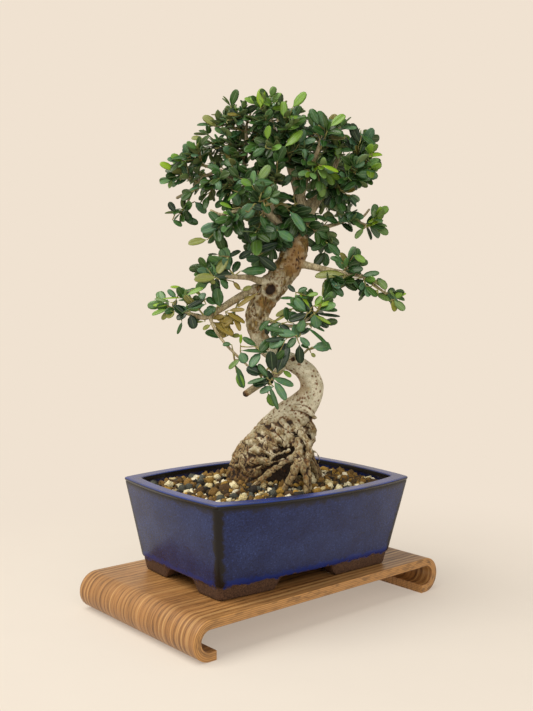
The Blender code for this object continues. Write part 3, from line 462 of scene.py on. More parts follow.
def potProfile():
    # the pot's ring sizes at rising heights outside, over the rim and down inside, as (size, height)
    foot = np.array(pot["foot"])
    innerFoot = foot - np.array([2, 2, 0, 0]) * pot["footWall"]
    footTop, top, rimWall = pot["footHeight"], pot["height"], pot["rimWall"]
    leaning = potSize(footTop, 0.8) - foot
    rows = [(innerFoot, pot["underside"])]
    rows += [(innerFoot, z) for z in np.linspace(7.0, 0.8, 6)]
    rows += [(innerFoot + (0.5, 0.5, 0, 0), 0.2), (innerFoot + (1.4, 1.4, 0, 0), 0)]
    rows += [(foot - (2.0, 2.0, 0, 0), 0), (foot - (0.7, 0.7, 0, 0), 0.25), (foot, 0.9)]
    rows += [(foot + leaning * u, 0.9 + (footTop - 0.9) * u) for u in (0.2, 0.45, 0.7, 1.0)]
    rows += [(potSize(footTop, 0.35), footTop + 0.15), (potSize(footTop, 0.0), footTop + 0.7)]
    rows += [(potSize(z, 0.0), z) for z in np.linspace(footTop + 1.5, top - 3.2, 30)]
    rows += [(potSize(top - 2.4, 0.3), top - 2.4), (potSize(top - 2.1, 0.0), top - 2.1)]
    rows += [(potSize(top, 0.0), top - 0.9), (potSize(top, 0.25), top - 0.3), (potSize(top, 0.9), top)]
    rows += [(potSize(top, inset), top) for inset in (2.4, 4.0, 5.6, 7.0)]
    rows += [(potSize(top, rimWall - 0.8), top), (potSize(top, rimWall - 0.2), top - 0.3)]
    underRim = top - pot["rimDepth"]
    rows += [(potSize(top, rimWall), top - 0.9), (potSize(underRim, pot["wall"]), underRim)]
    rows += [(potSize(z, pot["wall"]), z) for z in np.linspace(top - 9, pot["floor"] + 2, 8)]
    return rows + [(potSize(pot["floor"], pot["wall"]), pot["floor"])]


def potRing(size, height):
    # one ring: where it lies in the foot, its height is squeezed up above the notches between the feet
    outline = potSection(*size)
    across, along = outline.T
    onLong = np.abs(along) * pot["foot"][0] > np.abs(across) * pot["foot"][1]
    rise = np.where(onLong, notchRise(across, pot["longNotch"]), notchRise(along, pot["shortNotch"]))
    squeezed = height < pot["footHeight"]
    lifted = rise + height * (1 - rise / pot["footHeight"]) if squeezed else np.full(len(outline), height)
    return np.column_stack([outline, lifted])


def drilled(fired):
    # a drain hole at each side, cut by a closed cylinder
    turn = np.linspace(0, 2 * math.pi, pot["drainSteps"], endpoint=False)
    circle = pot["drainRadius"] * np.stack([np.cos(turn), np.sin(turn)], -1)
    for middle in (-pot["drainAt"], pot["drainAt"]):
        rings = [np.column_stack([circle + (middle, 0), np.full(len(turn), z)]) for z in pot["drainCut"]]
        ends = np.array([[middle, 0, z] for z in pot["drainCut"]])
        points = inPot(np.vstack([ends[:1], *rings, ends[1:]]))
        cutter = linkedObject("drainCutter", meshFrom("drainCutter", points, *closedTubeFaces(2, len(turn))))
        hole = fired.modifiers.new("drainHole", "BOOLEAN")
        hole.object, hole.solver = cutter, "EXACT"
        fired.data = meshAsShown(fired)
        fired.modifiers.clear()
        bpy.data.objects.remove(cutter)
    return fired.data


def buildPot():
    # rings of the bowed outline joined into one closed skin, then drilled
    rows = potProfile()
    rings = np.array([potRing(*row) for row in rows])
    poles = np.array([[0, 0, rows[0][1]], [0, 0, rows[-1][1]]])
    points = np.vstack([poles[:1], rings.reshape(-1, 3), poles[1:]])
    outward = unit(points * (1, 1, 0))
    points = points + pot["unevenness"] * noise(points, pot["unevenCell"], 3)[:, None] * outward
    fired = linkedObject("firedPot", meshFrom("firedPot", inPot(points), *closedTubeFaces(*rings.shape[:2])))
    mesh = drilled(fired)
    bpy.data.objects.remove(fired)
    across, along, height = outOfPot(pointsOf(mesh)).T
    size = potSize(height[:, None], 0)
    corner = np.hypot(np.abs(across) - size[:, 0] / 2, np.abs(along) - size[:, 1] / 2)
    marks = {"glazePlace": np.column_stack([corner, height, height > pot["height"] - 0.4])}
    finish = glazedStoneware()
    makePiece("glazedPot", mesh, [finish], ["pot"], marks, sharpAngle=pot["sharp"])
    print("pot:", len(mesh.polygons), "faces")


# Soil: hard-baked clay, pumice and lava grains over dark fines, their near-black partly painted shade between
# the grains.

soil = {
    "seed": 11, "inset": 9.6, "atHeight": 57.0, "dropFrom": 110.0,
    "sizes": ((5.8, 1.0, 200, 2), (4.5, 0.8, 850, 2), (2.6, 0.6, 1600, 1)),  # mean, spread, tries, ball level
    "packing": 0.84, "smallest": 0.6, "overEdge": 0.5, "buried": 0.5, "lumpiness": 0.2,
    "stretch": (0.72, 1.12), "coarseLift": 0.1, "fineLift": 0.35, "liftSpread": (-0.25, 0.45),
    "shades": (0.95, 1.5), "hueSpread": 1.1,
    "clays": ("#7A5A22", "#E8E0C2", "#50391A", "#9C7A30", "#D8CEA6", "#86682C", "#664C20", "#26211A",
              "#BCAC7C", "#4A4C42", "#7C5E2A", "#423012"),
    # the bed's near-black stands partly for painted shade in the gaps between grains
    "bedDark": "#120C07", "bed": "#150E06", "bedPale": "#5A4022", "crumbSize": 2.0, "poreSize": 0.769,
}


def soilBed():
    # the fines between the grains: crumbly and dull, their near-black partly their own colour and partly
    # painted shade in the gaps
    made, tree, shader = newMaterial("soilFines")
    place = addNode(tree, "TexCoord", {}, out="Object")
    crumbScale = perMetre(soil["crumbSize"])
    crumbs = addNode(tree, "TexNoise", {
        "Vector": place, "Scale": crumbScale, "Detail": 4.0, "Roughness": 0.7})
    colour = addNode(tree, "ValToRGB", {"Fac": crumbs}, stops=[
        (0.3, soil["bedDark"]), (0.55, soil["bed"]), (0.75, soil["bedPale"])])
    bump = addNode(tree, "Bump", {"Height": crumbs, "Strength": 1.0, "Distance": 0.0015}, out="Normal")
    setSockets(tree, shader, {"Base Color": colour, "Roughness": 0.95, "Normal": bump})
    return made


def bakedClay():
    # baked clay and pumice: dull and porous, each grain of its own colour with darker pores
    made, tree, shader = newMaterial("bakedClay")
    hue = addNode(tree, "Attribute", {}, out="Fac", attribute_name="grainHue")
    ownShade = addNode(tree, "Attribute", {}, out="Fac", attribute_name="grainShade")
    place = addNode(tree, "TexCoord", {}, out="Object")
    stops = [(k / len(soil["clays"]), clay) for k, clay in enumerate(soil["clays"])]
    clay = addNode(tree, "ValToRGB", {"Fac": hue}, stops=stops)
    clay.node.color_ramp.interpolation = "CONSTANT"
    poreScale = perMetre(soil["poreSize"])
    pores = addNode(tree, "TexNoise", {"Vector": place, "Scale": poreScale, "Detail": 3.0, "Roughness": 0.8})
    shade = addNode(tree, "MapRange", {0: pores, 1: 0.32, 2: 0.6, 3: 0.35, 4: 1.15})
    tone = addNode(tree, "Math", {0: shade, 1: ownShade}, operation="MULTIPLY")
    colour = addNode(tree, "Mix", {0: 1.0, 6: clay, 7: tone}, **tinted)
    bump = addNode(tree, "Bump", {"Height": pores, "Strength": 1.0, "Distance": 0.0008}, out="Normal")
    setSockets(tree, shader, {"Base Color": colour, "Roughness": 0.88, "Normal": bump})
    return made


def ballTemplate(level):
    # a ball of even triangles, 80 at level 2 and 20 at level 1, as points and corners
    ball = bmesh.new()
    bmesh.ops.create_icosphere(ball, subdivisions=level, radius=1.0)
    points = np.array([vertex.co[:] for vertex in ball.verts])
    corners = np.array([[vertex.index for vertex in face.verts] for face in ball.faces])
    ball.free()
    return points, corners


def nodeSurface(name):
    # a search tree of a frame node's triangles
    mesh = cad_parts[name].data
    return BVHTree.FromPolygons([v.co[:] for v in mesh.vertices], [p.vertices[:] for p in mesh.polygons])


def giveFinish(node, finish):
    # a frame node keeps its mesh and gets a finish of its own
    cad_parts[node].data.materials.clear()
    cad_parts[node].data.materials.append(finish)


def scatteredGrains(chance):
    # grain centres in the pot's own axes, no closer to each other than their sizes and the packing allow
    length, width, longBow, shortBow = potSize(soil["atHeight"], soil["inset"])
    reach = np.array([length / 2 + shortBow, width / 2 + longBow])
    centres, radii, levels = np.zeros((0, 2)), np.zeros(0), np.zeros(0, int)
    for size, spread, tries, level in soil["sizes"]:
        for _ in range(tries * 4):
            spot = chance.uniform(-1, 1, 2) * reach
            radius = max(chance.normal(size, spread), size * soil["smallest"]) / 2
            edge = radius * soil["overEdge"]
            insideLong = abs(spot[1]) < width / 2 + longBow * (1 - (2 * spot[0] / length) ** 2) - edge
            insideShort = abs(spot[0]) < length / 2 + shortBow * (1 - (2 * spot[1] / width) ** 2) - edge
            if not (insideLong and insideShort):
                continue
            apart = np.linalg.norm(centres - spot, axis=1)
            if np.any(apart < (radii + radius) * soil["packing"]):
                continue
            centres = np.vstack([centres, spot])
            radii = np.append(radii, radius)
            levels = np.append(levels, level)
            if np.count_nonzero(levels == level) > tries:
                break
    return centres, radii, levels


def buildSoil(treeSurface):
    # each grain drops onto the bed, where no wood stands, and is a lumpy ball pressed a little into it
    chance = np.random.default_rng(soil["seed"])
    bed = nodeSurface("soil")
    centres, radii, levels = scatteredGrains(chance)
    world = inPot(np.column_stack([centres, np.full(len(centres), soil["dropFrom"])]))
    kept, heights = [], []
    for spot, radius in zip(world, radii):
        ground = bed.ray_cast(Vector(spot), Vector((0, 0, -1)))[0]
        buried = ground and treeSurface.find_nearest(ground)[3] < radius * soil["buried"] * mm
        kept.append(ground is not None and not buried)
        heights.append(ground.z if ground else 0)
    centres, radii, levels = world[kept], radii[kept] * mm, levels[kept]
    lift = np.where(levels == 2, soil["coarseLift"], soil["fineLift"])
    lift = lift + chance.uniform(*soil["liftSpread"], len(radii))
    centres[:, 2] = np.array(heights)[kept] + radii * lift
    shapes, hues, shades = [], [], []
    for level in (1, 2):
        points, corners = ballTemplate(level)
        chosen = levels == level
        count = int(chosen.sum())
        lumps = 1 + chance.normal(0, soil["lumpiness"], (count, len(points)))
        stretch = chance.uniform(*soil["stretch"], (count, 1, 3))
        turn = np.linalg.qr(chance.normal(size=(count, 3, 3)))[0]
        turn *= np.sign(np.linalg.det(turn))[:, None, None]
        grain = np.einsum("kpi,kij->kpj", points[None] * lumps[..., None] * stretch, turn)
        grain = grain * radii[chosen][:, None, None] + centres[chosen][:, None]
        offset = np.arange(count)[:, None] * len(points)
        joint = (corners.ravel()[None] + offset).ravel()
        shapes.append((grain.reshape(-1, 3), joint, np.full(count * len(corners), 3)))
        hues.append(np.repeat(chance.beta(soil["hueSpread"], soil["hueSpread"], count), len(points)))
        shades.append(np.repeat(chance.uniform(*soil["shades"], count), len(points)))
    marks = {"grainHue": np.concatenate(hues), "grainShade": np.concatenate(shades)}
    makePiece("soilGrains", meshFrom("soilGrains", *joined(shapes)), [bakedClay()], [], marks)
    giveFinish("soil", soilBed())
    print("soil:", len(radii), "grains")


# Trunk, limbs and surface roots: one grown piece, remeshed from tubes so that they flow into each other.
# Each station is (across, height, towards, radius).

trunkLine = [
    (0, 76, -4, 18), (0, 84, -4, 22), (1, 97, -4, 21), (4, 108, -3, 19.5), (10, 119, -1, 18.5),
    (16, 130, 0, 14.8), (24, 140, 2, 11), (29, 148, 4, 8.8), (30, 156, 5, 8.2), (26, 164, 6, 7.3),
    (18, 170, 6, 6.5), (7, 175, 5, 6.2), (-3, 182, 4, 6.2), (-8, 190, 3, 6.5), (-10, 200, 2, 7.6),
    (-7, 210, 1, 8.7), (-2, 220, 0, 9.3), (5, 229, -1, 9.4), (12, 239, -2, 9.5), (16, 249, -3, 10),
    (18, 259, -4, 9), (20, 266, -5, 6.5),
]
limbs = {
    "leader": [
        (17, 252, -3, 7), (21, 270, -5, 5.4), (21, 280, -6, 4.6), (19, 291, -6, 4), (14, 305, -4, 3.3),
        (9, 318, -2, 2.4), (0, 335, 0, 1.6), (-6, 349, 2, 1.0),
    ],
    "leftFork": [
        (16, 250, -4, 6), (7, 267, -2, 4.5), (-1, 279, 0, 3.8), (-7, 290, 0, 3.3), (-17, 296, -2, 2.6),
        (-28, 301, -4, 2), (-41, 307, -6, 1.5), (-52, 310, -8, 1),
    ],
    "leftRiser": [
        (-14, 294, -1, 2.4), (-20, 305, -8, 1.9), (-19, 322, -12, 1.6), (-19, 339, -14, 1.1),
        (-16, 348, -13, 0.9),
    ],
    "leftLimb": [
        (8, 264, -1, 3.2), (-1, 273, 10, 2.4), (-10, 278, 16, 1.9), (-23, 275, 20, 1.5),
        (-34, 272, 22, 1.2), (-42, 275, 22, 0.9),
    ],
    "leftDrop": [(-38, 306, -5, 1.4), (-52, 299, -10, 1.1), (-59, 287, -12, 1), (-61, 280, -12, 0.9)],
    "rightFork": [
        (20, 264, -5, 4.2), (30, 282, -10, 3.2), (38, 296, -12, 2.6), (44, 309, -12, 2),
        (48, 322, -10, 1.4), (50, 332, -9, 0.9),
    ],
    "rightRiser": [(20, 288, -6, 3.2), (25, 306, 2, 2.2), (31, 318, 6, 1.6), (34, 330, 8, 1)],
    "rightOuter": [(38, 296, -12, 2.2), (50, 303, -4, 1.5), (58, 308, 2, 1.1), (61, 316, 4, 0.9)],
    "rightArm": [
        (22, 262, -5, 2.8), (37, 267, -10, 1.8), (47, 270, -10, 1.5), (56, 273, -8, 1.2), (64, 270, -4, 1),
        (68, 268, -1, 0.9),
    ],
    "rightLow": [
        (13, 243, -2, 4), (22, 240, 6, 2.9), (30, 238, 10, 2.5), (39, 236, 12, 2.2), (50, 234, 14, 1.9),
        (63, 232, 15, 1.5), (70, 227, 15, 1.2), (80, 220, 14, 0.9),
    ],
    "leftLow": [
        (-1, 224, 0, 4.2), (-12, 222, 4, 3.2), (-19, 218, 8, 2.9), (-27, 213, 12, 2.7), (-36, 207, 15, 2.4),
        (-45, 202, 16, 2), (-55, 204, 16, 1.6), (-66, 207, 14, 1.1),
    ],
    "leftUpper": [
        (6, 232, 0, 3.6), (-6, 228, 8, 2.7), (-15, 230, 14, 2.2), (-25, 230, 18, 1.7), (-36, 230, 20, 1.2),
    ],
    "hanging": [
        (-42, 204, 16, 1.5), (-39, 196, 20, 1.2), (-32, 186, 23, 1.1), (-22, 176, 25, 1),
        (-14, 169, 26, 0.9), (-6, 163, 26, 0.9),
    ],
    "stub": [(12, 172, 5, 4), (4, 163, 12, 2.8), (-7, 156, 15, 2.6), (-17, 149, 17, 2.4)],
    "midTwig": [
        (-8, 204, 2, 3), (3, 199, 14, 1.5), (12, 197, 18, 1.4), (20, 198, 20, 1.2), (27, 203, 21, 0.9),
    ],
    "knotTwig": [(9, 173, 5, 2.6), (17, 175, 14, 1.3), (23, 178, 17, 1), (27, 182, 18, 0.9)],
    "backLeft": [
        (16, 249, -4, 5), (12, 260, -24, 2.9), (3, 273, -36, 2.4), (-7, 287, -44, 1.8),
        (-16, 300, -48, 1.1),
    ],
    "backRight": [(20, 266, -5, 4), (26, 284, -26, 2.7), (34, 298, -36, 2.1), (39, 313, -42, 1.3)],
    "backTop": [(17, 297, -5, 3), (11, 316, -20, 2), (7, 333, -26, 1.5), (3, 346, -26, 1)],
    "prunedStub": [(-50, 300, -9, 1.1), (-58, 292, -10, 1.2), (-68, 286, -8, 1.2)],
    "deadSpur": [(60, 272, -6, 1.1), (65, 275, -4, 1.0), (69, 280, -3, 0.9)],
}
roots = {
    "leftSwelling": [
        (0, 122, 6, 9), (-6, 112, 9, 12), (-10, 99, 11, 12.5), (-11, 86, 12, 11), (-11, 78, 12, 8),
    ],
    "frontLeft": [
        (20, 119, 18, 3.4), (21, 113, 26, 2.8), (18, 109, 29.5, 2.3), (11, 105, 32, 2.3),
        (5, 101, 34.5, 1.8), (-2, 96, 37, 2.0), (-9, 90, 40, 1.5), (-14, 84, 42, 1.2),
    ],
    "frontRight": [
        (19, 127, 16, 3.4), (24, 122, 23, 2.8), (27, 117, 26.5, 2.4), (28, 110, 28, 2.6),
        (27, 103, 29, 2.1), (28, 95, 31, 2.5), (28, 88, 32, 1.9), (29, 80, 34, 1.6),
    ],
    "ringedRight": [
        (21, 112, 26, 2.4), (23, 106, 31, 2.2), (24, 101, 32, 2.6), (25, 96, 33.5, 2.0), (26, 91, 36, 2.4),
        (25, 84, 38, 1.7), (24, 78, 39, 1.2),
    ],
    "ringedMiddle": [
        (22, 112, 24, 2.4), (21, 106, 31, 2.1), (18, 101, 34, 2.7), (16, 96, 36.5, 2.0),
        (13, 92, 38.5, 2.5), (10, 87, 40, 1.7), (7, 81, 41, 1.3),
    ],
    "left": [(-6, 112, 2, 11), (-16, 106, 6, 8.5), (-21, 97, 9, 7), (-24, 88, 11, 6), (-28, 80, 12, 3)],
    "rightBack": [(14, 112, -8, 9), (24, 102, -16, 6), (32, 93, -22, 4.4), (38, 84, -28, 3)],
    "right": [(20, 118, -2, 9), (27, 108, -2, 5.4), (33, 96, -3, 3.8), (39, 86, -2, 2.6)],
    "back": [(4, 110, -10, 9), (-2, 100, -24, 6), (-6, 91, -32, 4.4), (-8, 83, -38, 3)],
    "backLeft": [(-4, 108, -6, 9), (-16, 98, -16, 6), (-24, 90, -22, 4.4), (-30, 82, -27, 3)],
}
# crumpled rolls of bark on the swollen foot, as short fat worms lying half in the surface
folds = [
    [(16, 140, 11, 1.6), (22, 140, 13.5, 2), (28, 137, 12.5, 2), (33, 132, 7, 1.6)],
    [(0, 130, 9, 2), (4, 126, 14, 2.8), (9, 120, 18, 3), (13, 114, 21, 2.6)],
    [(8, 132, 12, 2), (12, 127, 15.5, 2.6), (16, 120, 19, 2.6), (18, 114, 21, 2.2)],
    [(15, 133, 12, 2), (20, 127, 15, 2.6), (25, 120, 16, 2.6), (28, 111, 14, 2.2)],
    [(26, 133, 4, 2.4), (30, 126, 5, 3.4), (31, 118, 5, 3.4), (29, 110, 6, 2.4)],
    [(-12, 118, 11, 3), (-6, 122, 14, 3.4), (1, 121, 17, 3.4), (7, 117, 19, 3)],
    [(-17, 111, 12, 3), (-10, 116, 17, 3.8), (-2, 116, 20, 3.6), (6, 112, 21, 2.6)],
    [(-20, 104, 13, 3), (-12, 109, 19, 3.8), (-3, 111, 22, 3.6), (4, 108, 23, 2.2)],
    [(-22, 96, 14, 3), (-14, 102, 20, 3.8), (-6, 104, 23, 3.4), (2, 103, 24, 2)],
    [(2, 106, 23, 1.5), (8, 110, 26, 1.8), (15, 112, 25, 1.6)],
    [(-6, 122, -12, 3.4), (6, 124, -18, 4), (16, 120, -16, 3.6), (24, 113, -12, 3)],
    [(-14, 112, -12, 3.4), (-2, 112, -20, 4), (10, 110, -22, 4), (22, 104, -18, 3)],
    [(-20, 102, -8, 3.4), (-12, 100, -18, 4), (2, 98, -26, 4), (14, 96, -26, 3)],
    [(10, 133, 3, 1.6), (6, 133, 4, 2.4), (2, 130, 5, 1.8)],
    [(2, 129, 2, 1.8), (-2, 127, 4, 2.6), (-5, 124, 6, 1.8)],
    [(-5, 124, 0, 1.8), (-9, 120, 3, 2.6), (-12, 116, 5, 2)],
    [(-11, 118, -2, 1.8), (-15, 113, 1, 2.8), (-18, 108, 4, 2)],
    [(-17, 109, 0, 2), (-21, 103, 3, 2.8), (-23, 97, 6, 2)],
    [(-6, 122, 8, 1.4), (-3, 126, 9, 2), (1, 127, 10, 1.4)],
]
# thin pale roots that leave the foot and dive into the soil
rootlets = [
    [(13, 108, 30, 0.9), (5, 105, 31, 0.9), (-4, 102, 30, 0.8), (-12, 98, 30, 0.8), (-18, 91, 31, 0.7)],
    [(-4, 102, 30, 0.8), (-8, 99, 31, 0.7), (-14, 93, 33, 0.7), (-17, 87, 34, 0.6)],
    [(-22, 100, 18, 0.8), (-25, 95, 22, 0.7), (-26, 88, 25, 0.7)],
    [(-16, 100, 24, 0.8), (-20, 94, 27, 0.7), (-22, 86, 29, 0.7)],
    [(-10, 98, 28, 0.8), (-12, 93, 31, 0.7), (-11, 86, 34, 0.7)],
    [(0, 98, 30, 0.8), (-2, 93, 33, 0.7), (1, 86, 36, 0.7)],
    [(31, 110, 8, 0.7), (36, 105, 9, 0.7), (35, 98, 10, 0.6), (38, 92, 12, 0.6), (40, 85, 13, 0.6)],
    [(30, 104, 12, 0.8), (34, 97, 14, 0.7), (35, 88, 17, 0.7)],
]
bark = {
    "voxel": 0.6, "mostTriangles": 192000, "smoothing": 2, "seed": 5,
    "relief": {  # how far each pattern pushes the bark out, in mm, on each stretch of the wood
        "foot": {"footSwell": 0.5, "rolls": -0.8, "wrinkles": -0.6, "crumbs": 0.42, "knobs": 0.75},
        "upper": {"upperSwell": 0.6, "crumbs": 0.45, "knobs": 0.45, "fissures": -0.8},
        "neck": {"neckSwell": 0.3, "crumbs": 0.06}, "limbs": {"crumbs": 0.1},
    },
    "neckPits": 420, "otherPits": 520, "pitDepth": 0.4, "pitRadius": (0.35, 0.75),
    # branch scars: centre (across, height), nearest the front, ring radius, ring width, hollow's edge
    "scar": ((0, 222), 2, 5.6, 1.1, (3.2, 4.8)), "knot": ((16, 174), 4, 2.6, 0.9, (1.0, 2.2)),
    "hollows": (((14, 107), (10, 8)), ((10, 93), (17, 9))),  # shade under the roots: centre and half size
    "stubEnd": (-18, 148, 17), "brownPatch": ((17, 243), (9, 17)), "nearMean": 3, "farMean": 30,
    "cream": "#D8D4BC", "grey": "#BAB69C", "tan": "#B39A6E", "patch": "#8C6834", "pit": "#6A431C",
    "brown": "#6E4E2C", "dark": "#1E130A", "weathered": "#8A7444",
    "cloudSize": 7.143, "grainSize": 1.333, "streakSize": (1.111, 1.111, 4.545),
}


def oliveBark():
    # old olive bark: dull, pale grey-cream where smooth, brown in every fold and pit, near-black as painted
    # shade in deep creases and hollows, weathered with age
    made, tree, shader = newMaterial("oliveBark")
    marks = addNode(tree, "Attribute", {}, out="Vector", attribute_name="barkMarks")
    depthAndShade, browning, pits = addNode(tree, "SeparateXYZ", {"Vector": marks}).node.outputs[:]
    aged = addNode(tree, "Attribute", {}, out="Fac", attribute_name="barkAge")
    place = addNode(tree, "TexCoord", {}, out="Object")
    cloudScale, grainScale = perMetre(bark["cloudSize"]), perMetre(bark["grainSize"])
    cloud = addNode(tree, "TexNoise", {"Vector": place, "Scale": cloudScale, "Detail": 4.0, "Roughness": 0.6})
    grain = addNode(tree, "TexNoise", {"Vector": place, "Scale": grainScale, "Detail": 3.0, "Roughness": 0.7})
    pale = addNode(tree, "ValToRGB", {"Fac": cloud}, stops=[
        (0.28, bark["tan"]), (0.42, bark["grey"]), (0.58, bark["cream"])])
    flecked = addNode(tree, "ValToRGB", {"Fac": grain}, stops=[
        (0.28, (0.42, 0.34, 0.26, 1)), (0.4, (0.85, 0.81, 0.75, 1)), (0.52, (1.0, 1.0, 1.0, 1))])
    body = addNode(tree, "Mix", {0: 1.0, 6: pale, 7: flecked}, **tinted)
    body = addNode(tree, "Mix", {0: aged, 6: body, 7: bark["weathered"]}, **tinted)
    streakCells = tuple(perMetre(size) for size in bark["streakSize"])
    lengthwise = addNode(tree, "VectorMath", {0: place, 1: streakCells}, operation="MULTIPLY")
    streaks = addNode(tree, "TexNoise", {
        "Vector": lengthwise, "Scale": 1.0, "Detail": 3.0, "Roughness": 0.7})
    streakMask = addNode(tree, "ValToRGB", {"Fac": streaks}, stops=[
        (0.34, (0.3, 0.22, 0.13, 1)), (0.46, (0.85, 0.8, 0.7, 1)), (0.6, (1.5, 1.5, 1.4, 1))])
    body = addNode(tree, "Mix", {0: aged, 6: body, 7: streakMask}, **tinted)
    fold = addNode(tree, "Math", {0: grain, 1: 0.9, 2: -0.45}, operation="MULTIPLY_ADD")
    depth = addNode(tree, "Math", {0: depthAndShade, 1: fold}, operation="ADD")
    # shallow folds turn brown; deep creases and hollows turn near-black as painted shade
    shallow = addNode(tree, "MapRange", {0: depth, 1: 0.42, 2: 0.66, 3: 0.0, 4: 0.85})
    deep = addNode(tree, "MapRange", {0: depth, 1: 0.68, 2: 0.95, 3: 0.0, 4: 0.9})
    for share, colour in ((browning, "patch"), (shallow, "brown"), (deep, "dark"), (pits, "pit")):
        body = addNode(tree, "Mix", {0: share, 6: body, 7: bark[colour]}, **blended)
    bump = addNode(tree, "Bump", {"Height": grain, "Strength": 0.9, "Distance": 0.0008}, out="Normal")
    setSockets(tree, shader, {"Base Color": body, "Roughness": 0.85, "Normal": bump})
    return made


def stationTube(stations, steps, sides):
    # a tube along a smooth curve through the stations, as thick as they say
    curve = smoothCurve(stations, steps)
    return sweptTube(treePlace(curve[:, :3]), np.maximum(curve[:, 3], 0.5) * mm, sides)


def woodTubes():
    # all wood as overlapping tubes: stations, steps from one to the next, and sides
    tubes = [(trunkLine, 6, 32)]
    kinds = ((roots.values(), 6, 20), (limbs.values(), 5, 12), (folds, 6, 14), (rootlets, 6, 8))
    for parts, steps, sides in kinds:
        tubes += [(stations, steps, sides) for stations in parts]
    return joined([stationTube(*tube) for tube in tubes])


def remeshed(shape, voxel):
    # one even skin of small quads over overlapping tubes, as points and quads
    rough = linkedObject("roughWood", meshFrom("roughWood", *shape))
    skin = rough.modifiers.new("skin", "REMESH")
    skin.mode, skin.voxel_size, skin.use_smooth_shade = "VOXEL", voxel * mm, True
    result = meshAsShown(rough)
    points = pointsOf(result)
    corners = np.zeros(len(result.loops), np.int32)
    result.loops.foreach_get("vertex_index", corners)
    edges = np.zeros(len(result.edges) * 2, np.int32)
    result.edges.foreach_get("vertices", edges)
    bpy.data.objects.remove(rough)
    return points, corners.astype(int), np.full(len(corners) // 4, 4), edges.reshape(-1, 2)


def groove(points, cell, seed, width):
    # narrow winding lines: 1 where the noise crosses zero, falling to 0 a little to each side
    return 1 - smoothStep(np.abs(noise(points, cell, seed)), 0, width)


def neighbourMean(values, edges):
    # the mean of each point's neighbours along the mesh's edges
    first, second = edges.T
    count = len(values)
    total = [np.bincount(first, value[second], count) + np.bincount(second, value[first], count)
             for value in values.T]
    return np.stack(total, -1) / np.maximum(np.bincount(edges.ravel(), minlength=count), 1)[:, None]


def smoothed(points, edges, share):
    # each point moved a share of the way to its neighbours' mean
    return points + share * (neighbourMean(points, edges) - points)


def quadNormals(points, corners):
    # each point's normal: the sum of the crossed diagonals of its quads, made unit
    first, second, third, fourth = (points[column] for column in corners.reshape(-1, 4).T)
    faceNormal = np.cross(third - first, fourth - second)
    total = np.stack(
        [np.bincount(corners, np.repeat(faceNormal[:, k], 4), len(points)) for k in range(3)], -1)
    return unit(total)


def woodZones(points):
    # each point's place as seen from the front, in mm, and how far it belongs to the foot, the pale neck
    # above it, the upper trunk, or a limb, by its height and its distance from the trunk's own tube
    across, height, towards = points @ acrossAxis / mm, points[:, 2] / mm, points @ towardsAxis / mm
    local = np.column_stack([across, height, towards])
    trunk = smoothCurve(trunkLine, 6)
    reach = np.min([np.linalg.norm(local - station[:3], axis=1) - station[3] for station in trunk], axis=0)
    onTrunk = 1 - smoothStep(reach, 1.5, 5.0)
    foot = 1 - smoothStep(height, 124, 140)
    return SimpleNamespace(
        across=across, height=height, towards=towards, local=local, reach=reach, onTrunk=onTrunk, foot=foot,
        upper=smoothStep(height, 178, 196) * onTrunk, limbs=(1 - onTrunk) * (1 - foot),
        neck=(1 - foot) * (1 - smoothStep(height, 180, 195)) * onTrunk)


def barkPatterns(wood):
    # winding folds and cracks from 0 to 1, and bumps and swellings from -1 to 1
    local, across, height, towards = wood.local, wood.across, wood.height, wood.towards
    alongRoll, overRoll = 0.8 * across - 0.6 * height, 0.6 * across + 0.8 * height  # the rolls lean
    bent = 1.6 * noise(local, 7.0, 2)[:, None]
    lengthwise = np.column_stack([across, height * 0.35, towards]) + 0.8 * noise(local, 4.0, 6)[:, None]
    cracked = smoothStep(noise(local, 11.0, 10), -0.25, 0.35)
    return {
        "rolls": groove(np.column_stack([alongRoll * 0.4, overRoll, towards * 0.7]) + bent, 6.5, 1, 0.2),
        "wrinkles": groove(np.column_stack([alongRoll * 0.5, overRoll, towards]) + bent, 3.0, 3, 0.22),
        "fissures": groove(lengthwise, 3.0, 5, 0.18) * (0.25 + 0.75 * cracked),
        "crumbs": noise(local, 1.6, 4), "knobs": noise(local, 3.2, 16), "footSwell": noise(local, 9.0, 11),
        "upperSwell": noise(local, 8.0, 7), "neckSwell": noise(local, 9.0, 8),
    }


def pitMarks(wood, chance):
    # 1 in each scattered pit and 0 outside it, on the neck and on the rest of the trunk's front
    onNeck = np.flatnonzero(wood.neck > 0.5)
    elsewhere = np.flatnonzero((wood.upper > 0.6) | ((wood.foot > 0.5) & (wood.towards > 0)))
    places = [chance.choice(onNeck, bark["neckPits"], replace=False)]
    places.append(chance.choice(elsewhere, bark["otherPits"], replace=False))
    pitAt = wood.local[np.concatenate(places)]
    least, more = bark["pitRadius"]
    pitSize = least + more * chance.random(len(pitAt)) ** 2
    marks = np.zeros(len(wood.local))
    for spot, size in zip(pitAt, pitSize):
        apart = np.linalg.norm(wood.local - spot, axis=1)
        marks = np.maximum(marks, 1 - smoothStep(apart, size * 0.5, size * 1.25))
    return marks


def branchScar(wood, centre, front, ringRadius, ringWidth, hollowEdge):
    # a healed scar on the front: a raised ring, by a bell curve, and the hollow inside it, each from 0 to 1
    behind = 50 * (wood.towards < front)  # far enough to leave the back alone
    apart = np.hypot(wood.across - centre[0], wood.height - centre[1]) + behind
    return np.exp(-(((apart - ringRadius) / ringWidth) ** 2)), 1 - smoothStep(apart, *hollowEdge)


